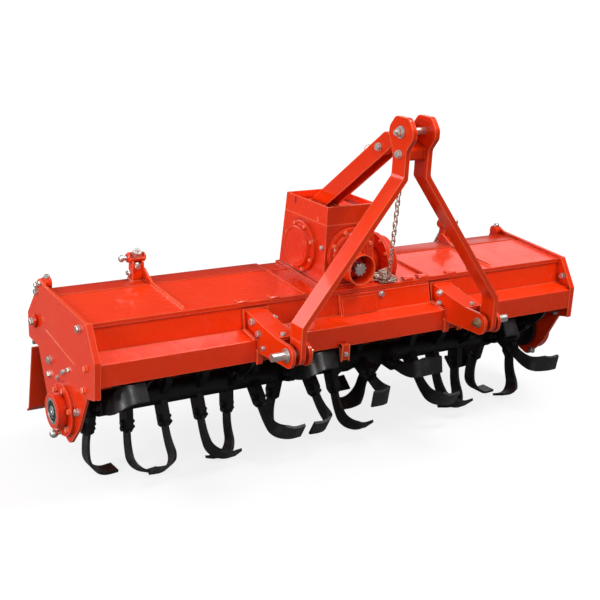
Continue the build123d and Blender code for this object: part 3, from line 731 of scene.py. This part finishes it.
@dataclass
class InputShaft:
    """The power take-off shaft's splined end, and its turned shank."""

    splines: int = 6
    outer: float = 17.5
    root: float = 14.9
    chamfer: float = 2.0

    def build(self) -> None:
        """Makes the splined shaft that stands for the plain CAD shaft."""
        low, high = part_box("input_shaft")
        axis = at(0, TOWER_FRONT, SHAFT_HEIGHT)
        tip = (low[1] - axis.y) / MM
        inner_end = (high[1] - axis.y) / MM
        boss = -26.0
        bm = bmesh.new()
        splined(bm, axis, [(tip, -self.chamfer), (tip + self.chamfer, 0.0), (boss - 6, 0.0)],
                self.outer, self.root, self.splines)
        lathe(bm, [(0, boss - 7), (17.5, boss - 7), (17.5, boss - 0.5), (22.5, boss - 0.4),
                   (22.5, inner_end),
                   (0, inner_end)], BACK, axis, 40)
        piece = keep("splined_input_shaft", outward(bm), TURNED, "input_shaft", 28)
        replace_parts(piece, "input_shaft")


@dataclass
class Rotor:
    """Blade bolts on the holders, seated on both cheeks of every holder."""

    bolt_radii: tuple = (88.0, 108.0)
    flats: float = 19.0

    def blade_places(self) -> list[tuple[float, float]]:
        """Returns each blade's place along the axis and its angle, measured on the shank."""
        places = []
        for name in ("blades_right_hand", "blades_left_hand"):
            bm = bmesh.new()
            bm.from_mesh(frame["nodes"][name].data)
            bmesh.ops.remove_doubles(bm, verts=bm.verts, dist=1e-6)
            seen = set()
            for vert in bm.verts:
                if vert in seen:
                    continue
                loose, stack = [], [vert]
                while stack:
                    here = stack.pop()
                    if here in seen:
                        continue
                    seen.add(here)
                    loose.append(here.co.copy())
                    stack.extend(edge.other_vert(here) for edge in here.link_edges)
                near = sorted(loose, key=lambda p: (p.yz - AXLE.yz).length)[:4]
                middle = sum(near, Vector()) / len(near)
                places.append((middle.x, math.atan2(middle.z - AXLE.z, middle.y - AXLE.y)))
            bm.free()
        return places

    def build(self) -> None:
        """Makes the bolts and nuts of all blades."""
        bolts = FastenerSet("blade_bolts", "rotor", BLACK)
        nuts = FastenerSet("blade_nuts", "rotor", BLACK, Head.NUT)
        for x, angle in self.blade_places():
            for radius in self.bolt_radii:
                place = Vector((x, AXLE.y + radius * MM * math.cos(angle),
                                AXLE.z + radius * MM * math.sin(angle)))
                bolts.on("rotor_tube", place, LEFT, self.flats, radius)
                nuts.on("rotor_tube", place, RIGHT, self.flats, radius)
        bolts.build()
        nuts.build()


@dataclass
class Hood:
    """Fasteners and welds of the plates, covers, beam and hitch."""

    def build(self) -> None:
        """Makes the frame's bolts, nuts and beads."""
        zinc = FastenerSet("frame_bolts", "frame", ZINC)
        nuts = FastenerSet("frame_nuts", "frame", ZINC, Head.NUT)
        red = FastenerSet("painted_bolts", "frame", RED_CAST)
        left_bolts = ((-126, 326, 22), (135, 131, 24), (144, 74, 19), (-109, 29, 22), (67, 90, 15),
                      (20, 124, 15), (5, 133, 15), (-33, 152, 15))
        for y, z, flats in ((-185, 210, 19), (-168, 129, 19)):
            red.on("side_plate_left", at(-PLATE_FACE, y, z), LEFT, flats, y)
            red.on("side_plate_right", at(PLATE_FACE, y, z), RIGHT, flats, y)
        zinc.on("centre_panel", at(126, -190, 310), FRONT, 19, 0.4)
        zinc.on("gearbox_casing", at(-TOWER_SIDE, -95, 493), LEFT, 15, 0.4)
        for y, z, flats in left_bolts:
            zinc.on("side_plate_left", at(-PLATE_FACE, y, z), LEFT, flats, y)
            nuts.on("side_plate_right", at(PLATE_FACE, y, z), RIGHT, flats, z)
        for y, z, flats in ((-189, 282, 22), (-173, 120, 22), (-68, -84, 22)):
            nuts.on("side_plate_right", at(1040, y, z), LEFT, flats, z)
        red.ring("bearing_housing_left", at(-1064, 0, 0), LEFT, 77, 6, 17, 15)
        red.ring("side_bearing_cap", at(-121, 35, 470), LEFT, 87, 8, 14, 22)
        red.ring("input_bearing_cap", at(0, -131, 470), FRONT, 86, 8, 14, 22)
        red.ring("drop_gear_housing", at(203, 22, 378), LEFT, 107, 12, 12, 0, at(0, 0, 372).z)
        for side, word, facing in SIDES:
            name = f"hitch_bracket_{word}"
            for y, z, flats in ((-206, 292, 22), (-250, 263, 20), (-284, 222, 16)):
                zinc.on(name, at(side * 451, y, z), facing, flats, y)
            for y, z, flats in ((-208, 296, 22), (-209, 256, 20)):
                nuts.on(name, at(side * 373, y, z), -facing, flats, z)
            zinc.on(name, at(side * 414, -345, 330), UP, 16, 0.2)
            through = zinc if side < 0 else nuts
            through.on(f"mast_bar_{word}", at(side * 56, -440, 895), facing, 24, 0.3)
            through.on("mast_strut", at(side * 30, -292, 892), facing, 24, 0.5)
        zinc.build()
        nuts.build()
        red.build()
        welds = WeldRun("frame_welds", "frame", RED_CAST)
        for node, other in (("post_rib_left", "top_cover_left"), ("post_rib_right", "top_cover_right"),
                            ("rear_post_left", "top_cover_left"), ("rear_post_right", "top_cover_right"),
                            ("mast_strut", "tower_tray"), ("hitch_bracket_left", "front_beam"),
                            ("hitch_bracket_right", "front_beam")):
            welds.seam(node, other)
        welds.build()


@dataclass
class LeftHub:
    """The left rotor bearing in its housing, and the ball-headed plug under it."""

    recess_depth: float = 8.0

    def build(self) -> None:
        """Makes the bearing, its shaft nut, and the plug."""
        floor = at(self.recess_depth - HUB_FACE, 0, 0)
        rings = bmesh.new()
        lathe(rings, [(37, 0.4), (45.6, 0.4), (45.6, 6.4), (44, 7.4), (38, 7.4), (37, 5.2)], LEFT,
              floor, 48)
        lathe(rings, [(0, 0.4), (19, 0.4), (19, 6.6), (17, 7.9), (6, 7.9), (4, 5.4), (0, 5.4)], LEFT,
              floor, 6)
        keep("bearing_ring_and_nut", outward(rings), ZINC, "frame")
        seal = bmesh.new()
        lathe(seal, [(0, 0.5), (36.8, 0.5), (36.8, 5.6), (34, 6.2), (24, 6.2), (22, 3.6), (0, 3.6)], LEFT,
              floor, 48)
        keep("bearing_seal", outward(seal), BLACK, "frame")
        plug = bmesh.new()
        lathe(plug, [(0, 0), (13, 0), (13, 5), (7.5, 7), (7, 19), (10, 22), (14, 28), (15.5, 34), (14, 41),
                     (9, 46.5), (4, 48.6), (0, 49)], LEFT, at(-PLATE_FACE, 22, -93), 28)
        keep("ball_headed_plug", outward(plug), ZINC, "frame")


@dataclass
class PostHead:
    """A rear post's swivel block, its pins, and the adjusting rod's lock nuts."""

    side: int
    post_x: float = 708.0

    @property
    def word(self) -> str:
        """Returns the side as a word."""
        return "left" if self.side < 0 else "right"

    def build(self) -> None:
        """Makes the block's bosses, its pivot bolts and the rod's nuts."""
        middle = self.side * self.post_x
        bosses = bmesh.new()
        for direction in (LEFT, RIGHT):
            lathe(bosses, [(0, 0), (17, 0), (17, 4), (14, 7), (0, 7)], direction,
                  at(middle + direction.x * 28, 193, 446), 24)
        keep(f"swivel_bosses_{self.word}", outward(bosses), RED_CAST, "frame")
        pins = bmesh.new()
        outside = LEFT if self.side < 0 else RIGHT
        lathe(pins, [(0, 0), (8, 0), (8, 14), (12, 15), (13.5, 20), (12, 26), (7, 30), (0, 31)], outside,
              at(middle + self.side * 34, 193, 446), 24)
        lathe(pins, [(0, 0), (10, 0), (11, 4), (9, 8), (0, 9)], FRONT, at(middle - 4, 168, 418), 24)
        lathe(pins, [(0, 0), (12, 0), (12, 6), (8, 9), (8, 14), (0, 15)], outside,
              at(middle + self.side * 22, 190, 392), 24)
        keep(f"swivel_pins_{self.word}", outward(pins), ZINC, "frame")


@dataclass
class BearingCaps:
    """The tower's two round caps: a bolted flange, and a raised boss with a turned groove in its face."""

    flange: float = 96.0
    boss: float = 78.0

    def profile(self, thickness: float, height: float, groove: float) -> list[tuple[float, float]]:
        """Returns the turned outline as (radius, height) pairs with rounded corners."""
        return [(0, 0), (self.flange, 0), (self.flange, thickness - 5),
                (self.flange - 1.5, thickness - 1.6),
                (self.flange - 5, thickness), (self.boss + 7, thickness), (self.boss + 3, thickness + 1.4),
                (self.boss + 1, thickness + 5), (self.boss, height - 6), (self.boss - 1.8, height - 1.8),
                (self.boss - 6, height), (groove + 4, height), (groove + 2, height - 2.6),
                (groove - 2, height - 2.6),
                (groove - 4, height - 0.8), (0, height - 0.2)]

    def build(self) -> None:
        """Makes both caps in place of the plain ones."""
        side = bmesh.new()
        lathe(side, self.profile(14, 34, 66), LEFT, at(-TOWER_SIDE, 35, CAP_HEIGHT), 72)
        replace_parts(keep("turned_side_cap", outward(side), RED_CAST, "frame", 40), "side_bearing_cap")
        front = bmesh.new()
        lathe(front, self.profile(14, 25, 62), FRONT, at(0, TOWER_FRONT, CAP_HEIGHT), 72)
        lathe(front, [(0, 10), (41, 10), (40.5, 23), (39, 25.6), (36, 26), (0, 26)], FRONT,
              at(0, TOWER_FRONT, SHAFT_HEIGHT), 48)
        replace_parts(keep("turned_front_cap", outward(front), RED_CAST, "frame", 40), "input_bearing_cap")
        plug = bmesh.new()
        for x, y, z, facing in ((-TOWER_SIDE, -60, 589, LEFT), (-TOWER_SIDE, 128, 420, LEFT),
                                (TOWER_SIDE, -60, 589, RIGHT)):
            lathe(plug, [(0, -0.4), (9, -0.4), (9, 2), (7, 3.2), (4, 3.2), (3.4, 1), (0, 1)], facing,
                  at(x, y, z), 24)
        keep("casing_plugs", outward(plug), RED_CAST, "frame")
        # a thin black plate standing just off the tower's side: a painted shadow of a slot, not a recess
        painted_shadow_plate = bmesh.new()
        prism(painted_shadow_plate, [(92, 620), (95, 618), (98, 620), (98, 641), (95, 643), (92, 641)], -107.7, -106.5)
        keep("tray_slot_painted_shadow", outward(painted_shadow_plate), BLACK, "frame")


@dataclass
class CornerLugs:
    """Hinge lugs and bolts for the end guards, on the side plates' top rear corners."""

    def build(self) -> None:
        """Makes a rounded lug and three bolts at each corner."""
        lugs = bmesh.new()
        for side in (-1, 1):
            low, high = sorted((side * 1039.4, side * 1012))
            prism(lugs, [(206, 364), (206, 384), (214, 397), (232, 400), (246, 392), (250, 372), (240, 356)],
                  low, high)
        rounded(lugs, 4)
        keep("corner_lugs", outward(lugs), RED_CAST, "frame")
        bolts = FastenerSet("corner_bolts", "frame", ZINC)
        for side, word, facing in SIDES:
            for y, z, flats in ((256, 366, 19), (262, 340, 19), (226, 380, 15)):
                bolts.on(f"side_plate_{word}", at(side * PLATE_FACE, y, z), facing, flats, y)
            bolts.items.append(Fastener(at(side * 1026, 224, 398.5), UP, 19, 0.4))
        bolts.build()


@dataclass
class MastHead:
    """Nuts and the lynch pin ring at the top of the mast."""

    def build(self) -> None:
        """Makes the upper pin's nut and collars, and the ring."""
        ends = bmesh.new()
        lathe(ends, [(12.6, 0), (21, 0), (21, 3.5), (12.6, 3.5)], LEFT, at(-56, *UPPER_PIN), 32)
        lathe(ends, [(12.6, 0), (19, 0), (19, 6), (12.6, 6)], RIGHT, at(56, *UPPER_PIN), 32)
        keep("upper_pin_collars", outward(ends), ZINC, "frame")
        nut = FastenerSet("upper_pin_nut", "frame", ZINC, Head.NUT)
        nut.items.append(Fastener(at(-59.5, *UPPER_PIN), LEFT, 27, 0.2))
        nut.build()
        ring = wire_ring(at(0, -196, 862), Vector((0.9, 0.45, 0.1)), 19, 1.6)
        keep("lynch_pin_ring", ring, ZINC, "frame", 60)


def wire_ring(centre: Vector, normal: Vector, radius: float, wire: float, sides: int = 36) -> bpy.types.Mesh:
    """Returns a closed round ring of wire, its sizes in millimetres."""
    bm = bmesh.new()
    matrix = facing_matrix(normal.normalized(), centre)
    rings = []
    for index in range(sides):
        around = 2 * math.pi * index / sides
        out = Vector((math.cos(around), math.sin(around), 0))
        ring = []
        for step in range(8):
            turn = 2 * math.pi * step / 8
            local = out * (radius + wire * math.cos(turn)) + Vector((0, 0, wire * math.sin(turn)))
            ring.append(bm.verts.new(matrix @ (local * MM)))
        rings.append(ring)
    for first, second in zip(rings, rings[1:] + rings[:1]):
        for step in range(8):
            after = (step + 1) % 8
            bm.faces.new((first[step], first[after], second[after], second[step]))
    return outward(bm)


@dataclass
class ShaftEnd:
    """The bright collar on the power take-off shaft, and the dished seal cover behind it in the guard."""

    def build(self) -> None:
        """Makes the collar and the cover."""
        collar = bmesh.new()
        splined(collar, at(0, -196.6, SHAFT_HEIGHT), [(0.0, -1.6), (1.6, 0.0), (24.0, 0.0)], 25.5, 20.0, 9)
        lathe(collar, [(0, -0.6), (8.5, -0.6), (9.5, 0.2), (8, 0.9), (5.5, -0.2), (0, -0.2)], FRONT,
              at(0, -196.6, SHAFT_HEIGHT), 24)
        keep("shaft_end_collar", outward(collar), TURNED, "input_shaft", 25)
        cover = bmesh.new()
        lathe(cover, [(24, 14.2), (54, 14.2), (54, 22), (47, 25), (40, 28), (26, 29), (24, 28)], FRONT,
              at(0, TOWER_FRONT, SHAFT_HEIGHT), 48)
        keep("seal_cover", outward(cover), RED_CAST, "frame")


def link_tree() -> bpy.types.NodeTree:
    """Returns the tree that bends an oval link of round wire on every point."""
    if "chain_links" in bpy.data.node_groups:
        return bpy.data.node_groups["chain_links"]
    g = Graph("chain_links", {"Link Length": "NodeSocketFloat", "Link Width": "NodeSocketFloat",
                              "Bend Radius": "NodeSocketFloat", "Wire Radius": "NodeSocketFloat",
                              "Material": "NodeSocketMaterial"})
    box = g.add("GeometryNodeCurvePrimitiveQuadrilateral", Width=g.given["Link Length"],
                Height=g.given["Link Width"]).outputs["Curve"]
    oval = g.add("GeometryNodeFilletCurve", {"mode": "POLY"}, Curve=box, Count=4,
                 Radius=g.given["Bend Radius"]).outputs["Curve"]
    wire = g.add("GeometryNodeCurvePrimitiveCircle", Resolution=8,
                 Radius=g.given["Wire Radius"]).outputs["Curve"]
    link = g.add("GeometryNodeCurveToMesh", Curve=oval, Profile_Curve=wire).outputs["Mesh"]
    lie = g.add("FunctionNodeAxesToRotation", {"primary_axis": "Z", "secondary_axis": "X"},
                Primary_Axis=g.attribute("normal_to", "FLOAT_VECTOR"),
                Secondary_Axis=g.attribute("along", "FLOAT_VECTOR")).outputs["Rotation"]
    placed = g.add("GeometryNodeInstanceOnPoints", Points=g.given["Geometry"], Instance=link, Rotation=lie)
    g.end(placed.outputs["Instances"])
    return g.tree


@dataclass
class ChainHeap:
    """Round links of the safety chain, and its slack end lying in a heap on the deck."""

    link_length: float = 33.6
    link_width: float = 15.0
    wire: float = 2.5
    seed: int = 5

    def bend(self, places: list[tuple[Vector, Vector, Vector]]) -> bpy.types.Mesh:
        """Returns a mesh with a link at each centre, running along one direction and square to another."""
        mesh = bpy.data.meshes.new("link_places")
        mesh.from_pydata([centre for centre, _, _ in places], [], [])
        for name, column in (("along", 1), ("normal_to", 2)):
            layer = mesh.attributes.new(name, "FLOAT_VECTOR", "POINT")
            for point, place in zip(layer.data, places):
                point.vector = tuple(place[column])
        return evaluate(mesh, link_tree(), {
            "Link Length": self.link_length * MM, "Link Width": self.link_width * MM,
            "Bend Radius": self.link_width / 2 * MM, "Wire Radius": self.wire * MM,
            "Material": MATERIALS[CHAIN_RUST.name]})

    def build(self) -> None:
        """Makes the hanging links over the CAD chain, and the heap."""
        top, end = at(-29, -425, 848), at(168, -146, 359.5)
        run = (end - top).normalized()
        face = (RIGHT - run * run.x).normalized()
        hanging = [(top.lerp(end, index / 23), run, face if index % 2 == 0 else run.cross(face))
                   for index in range(24)]
        bm = bmesh.new()
        bm.from_mesh(self.bend(hanging))
        lathe(bm, [(0, 0), (3, 0), (3, 19), (0, 19)], RIGHT, at(-38, -429.1, 855.2), 16)
        piece = keep("round_chain_links", outward(bm), CHAIN_RUST, "frame", 50)
        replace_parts(piece, "safety_chain")
        heap = []
        turns = random.Random(self.seed)
        for index in range(46):
            angle = turns.uniform(0, 2 * math.pi)
            spread = turns.uniform(0, 1) ** 0.5
            x = 170 + 46 * spread * math.cos(angle)
            y = -110 + 34 * spread * math.sin(angle)
            layer = (1 - spread) * 34
            surface = SKIN.seat("centre_deck", at(x, y, 350), UP)
            centre = surface + UP * (4.2 + layer) * MM
            turn = 2 * angle + index
            heading = Vector((math.cos(turn), math.sin(turn), turns.uniform(-0.15, 0.15)))
            lean = Vector((turns.uniform(-1, 1), turns.uniform(-1, 1), 0.2))
            tilt = UP.lerp(lean, 0.0 if spread > 0.6 else 0.35)
            along = heading.normalized()
            heap.append((centre, along, (tilt - along * tilt.dot(along)).normalized()))
        bm = bmesh.new()
        bm.from_mesh(self.bend(heap))
        keep("chain_heap", outward(bm), CHAIN_RUST, "frame", 50)


@dataclass
class CoverTrim:
    """Folded strips over the covers' seams, the doubler on the centre panel, and tabs on the front edge."""

    strip_width: float = 13.0

    def build(self) -> None:
        """Makes the strips, the doubler and the tabs."""
        strips = bmesh.new()
        line = [(-151, 347.4), (115, 364.2), (203, 363.4)]
        outline = [(y, z - 3.4) for y, z in line] + [(y, z + 2.6) for y, z in reversed(line)]
        prism(strips, outline, -200 - self.strip_width, -201)
        prism(strips, outline, 353, 352 + self.strip_width)
        for x in (-462, -330, 262, 330, 470, 585):
            prism(strips, [(-152.5, 340), (-152.5, 350), (-148, 353.5), (-128, 354), (-124, 349)],
                  x - 22, x + 22)
        rounded(strips, 1.0)
        keep("seam_strips", outward(strips), RED, "frame")
        # the outer rear lengths get the darker red as painted shade; the centre length, behind the tower, keeps
        # the plain red
        for name, spans, drop, paint in (("rear_level_strips", ((-1038, -201), (353, 1038)), 0, RED_STRIP_PAINTED_SHADE),
                                         ("rear_deck_strip", ((-199, 351),), 6, RED)):
            level = bmesh.new()
            for low, high in spans:
                prism(level, [(113, 359.5 - drop), (205, 359 - drop), (205, 365.6 - drop), (113, 366.6 - drop)],
                      low, high)
            rounded(level, 0.9)
            keep(name, outward(level), paint, "frame")
        doubler = bmesh.new()
        prism(doubler, [(-174, 251), (-181.5, 253), (-163.5, 313), (-157, 311)], -52, 101)
        rounded(doubler, 1.0)
        keep("centre_panel_doubler", outward(doubler), RED, "frame")


@dataclass
class ShaftRest:
    """The small tapered channel under the beam's middle, where a parked drive shaft is hooked up."""

    left: float = -112.0
    right: float = -76.0
    wall: float = 4.5

    def build(self) -> None:
        """Makes the channel's web and cheeks, and its hook bolt."""
        rest = bmesh.new()
        prism(rest, [(-244, 176), (-268, 176), (-269, 118), (-264.5, 118), (-263.5, 160), (-244, 166)],
              self.left, self.right)
        for low in (self.left, self.right - self.wall):
            prism(rest, [(-246, 176), (-268, 176), (-269, 112), (-263, 112), (-249, 158)],
                  low, low + self.wall)
        rounded(rest, 1.2)
        keep("shaft_rest", outward(rest), RED_PLATE, "frame")
        bolt = FastenerSet("shaft_rest_bolt", "frame", ZINC)
        bolt.items.append(Fastener(at((self.left + self.right) / 2, -268.6, 140), FRONT, 15, 0.3))
        bolt.build()


@dataclass
class PinCollars:
    """Thrust washers on the lower pins outside the cheeks, and the nuts on their inner ends."""

    def build(self) -> None:
        """Makes the washers and the nuts."""
        washers = bmesh.new()
        for side, facing in ((-1, LEFT), (1, RIGHT)):
            lathe(washers, [(14.2, 0), (24, 0), (25, 1), (25, 4), (24, 5), (14.2, 5)], facing,
                  at(side * 451.3, *LOWER_PIN), 36)
            lathe(washers, [(0, 0), (20, 0), (20, 2.6), (0, 2.6)], -facing, at(side * 373.7, *LOWER_PIN), 36)
        keep("pin_washers", outward(washers), ZINC, "frame")
        nuts = FastenerSet("pin_nuts", "frame", BRASS, Head.NUT)
        for side, facing in ((-1, RIGHT), (1, LEFT)):
            nuts.items.append(Fastener(at(side * 371.0, *LOWER_PIN), facing, 27, 0.4))
        nuts.build()


@dataclass
class PlateTrim:
    """The pressed crease, and the rear bolt's oval housing with its bolt, of a side plate."""

    side: int

    def build(self) -> None:
        """Makes the crease, the housing and its bolt."""
        word = "left" if self.side < 0 else "right"
        face = self.side * PLATE_FACE
        low, high = sorted((face - self.side * 0.4, face + self.side * 2.2))
        crease = bmesh.new()
        prism(crease, [(174, 224), (174, 229), (-89, 192.5), (-92, 190), (-89, 188)], low, high)
        rounded(crease, 1.0)
        keep(f"plate_crease_{word}", outward(crease), RED_PLATE, "frame")
        outside = LEFT if self.side < 0 else RIGHT
        housing = bmesh.new()
        low, high = sorted((face - self.side * 0.4, face + self.side * 14))
        prism(housing, [(262, 208), (246, 240), (252, 250), (268, 256), (284, 250), (290, 238), (288, 214),
                        (278, 204)], low, high)
        rounded(housing, 4.0)
        keep(f"rear_bolt_housing_{word}", outward(housing), RED_CAST, "frame")
        bolt = FastenerSet(f"rear_housing_bolt_{word}", "frame", ZINC)
        bolt.items.append(Fastener(at(face + self.side * 14, 270, 230), outside, 22, 0.3))
        bolt.build()


# ---- studio ------------------------------------------------------------------------------------------
@dataclass(frozen=True)
class Studio:
    """A pale sweep of floor, soft lights, and the camera low at the machine's front left corner."""

    camera_place: tuple = (-2.360, -3.376, 1.836)
    yaw: float = 33.29
    pitch: float = 17.604
    roll: float = 3.083
    lens: float = 68.64
    floor_glow: float = 0.82
    ceiling_glow: float = 0.62
    wall_glow: float = 0.10

    def floor(self) -> None:
        """Makes the floor, with a finish like matt card lit from below on a light table."""
        s = Shader("matt_floor_card")
        tone = s.mix(s.band(s.noise(0.6, 3), 0.3, 0.7), "#747474", "#717171")
        # the card itself glows towards the viewer only, so that the machine's shadows stay faint,
        # and a little more the farther it runs from the lamps
        seen = s.add("ShaderNodeLightPath").outputs["Is Camera Ray"]
        away = s.add("ShaderNodeVectorMath", Operation="LENGTH", Vector=s.place).outputs["Value"]
        glow = s.add("ShaderNodeMapRange", Value=seen, To_Max=s.band(away, 1.6, 7.0, self.floor_glow, 1.0))
        material = s.finish(Base_Color=tone, Roughness=0.8, Normal=s.bump(s.noise(0.004, 3), 0.00005),
                            Emission_Color=(1, 1, 1, 1), Emission_Strength=glow.outputs["Result"])
        bm = bmesh.new()
        bmesh.ops.create_grid(bm, x_segments=8, y_segments=8, size=60)
        mesh = outward(bm)
        if mesh.polygons[0].normal.z < 0:
            mesh.flip_normals()
        mesh.materials.append(material)
        obj = bpy.data.objects.new("floor", mesh)
        bpy.context.scene.collection.objects.link(obj)

    def light(self, name: str, place, target, size: tuple[float, float], power: float) -> None:
        """Adds a soft panel light at a place, aimed at a target and hidden from the camera itself."""
        lamp = bpy.data.lights.new(name, "AREA")
        lamp.shape = "RECTANGLE"
        lamp.size, lamp.size_y = size
        lamp.energy = power
        obj = bpy.data.objects.new(name, lamp)
        obj.location = place
        obj.rotation_euler = (Vector(target) - Vector(place)).to_track_quat("-Z", "Y").to_euler()
        obj.visible_camera = False
        bpy.context.scene.collection.objects.link(obj)

    def room(self) -> None:
        """Makes a grey room with one wide soft ceiling light."""
        world = bpy.data.worlds.new("soft_ceiling")
        world.use_nodes = True
        nodes, links = world.node_tree.nodes, world.node_tree.links
        split = nodes.new("ShaderNodeSeparateXYZ")
        links.new(nodes.new("ShaderNodeTexCoord").outputs["Generated"], split.inputs[0])
        rise = nodes.new("ShaderNodeMapRange")
        rise.interpolation_type = "SMOOTHSTEP"
        for key, number in (("From Min", 0.45), ("From Max", 0.75), ("To Min", self.wall_glow),
                            ("To Max", self.ceiling_glow)):
            rise.inputs[key].default_value = number
        links.new(split.outputs["Z"], rise.inputs["Value"])
        # the room itself is white to the eye, and its walls are kept dim in the paint's gloss
        seen = nodes.new("ShaderNodeMath")
        seen.operation = "MAXIMUM"
        links.new(rise.outputs["Result"], seen.inputs[0])
        links.new(nodes.new("ShaderNodeLightPath").outputs["Is Camera Ray"], seen.inputs[1])
        background = nodes["Background"]
        background.inputs["Color"].default_value = (1, 1, 1, 1)
        links.new(seen.outputs[0], background.inputs["Strength"])
        bpy.context.scene.world = world

    def build(self) -> None:
        """Sets the floor, lights, world and camera."""
        self.floor()
        self.room()
        middle = (0, 0, 0.5)
        self.light("left_key", (-5.6, -0.9, 2.1), middle, (1.6, 1.6), 160)
        self.light("front_fill", (-2.2, -5.6, 4.2), middle, (1.8, 1.4), 86)
        self.light("top_panel", (1.5, -1.3, 4.6), middle, (1.4, 1.4), 120)
        self.light("back_left_panel", (-2.9, 4.5, 2.4), middle, (2.6, 2.2), 70)
        self.light("back_right_panel", (4.7, 4.3, 2.2), (0.7, 0, 0.6), (2.6, 2.0), 15)
        camera = bpy.data.cameras.new("front_left_camera")
        camera.sensor_width = 36
        camera.lens = self.lens
        camera.clip_end = 150
        obj = bpy.data.objects.new("front_left_camera", camera)
        turn = (Matrix.Rotation(math.radians(-self.yaw), 4, "Z")
                @ Matrix.Rotation(math.radians(90 - self.pitch), 4, "X")
                @ Matrix.Rotation(math.radians(self.roll), 4, "Z"))
        obj.matrix_world = Matrix.Translation(self.camera_place) @ turn
        bpy.context.scene.collection.objects.link(obj)
        bpy.context.scene.camera = obj
        bpy.context.scene.view_settings.view_transform = "Standard"


def main() -> None:
    """Builds every finish and piece, then the studio."""
    logging.basicConfig(level=logging.INFO, format="%(message)s")
    for finish in FINISHES:
        MATERIALS[finish.name] = finish.build()
    dress_nodes()
    assemblies = (BearingCaps(), InputShaft(), Rotor(), Hood(), LeftHub(), PostHead(-1), PostHead(1), CornerLugs(),
                  MastHead(),
                  ShaftEnd(), ChainHeap(), CoverTrim(), PlateTrim(-1), PlateTrim(1),
                  ShaftRest(), PinCollars())
    for assembly in assemblies:
        assembly.build()
        LOG.info("%s done", type(assembly).__name__)
    Studio().build()


if __name__ == "__main__":
    main()
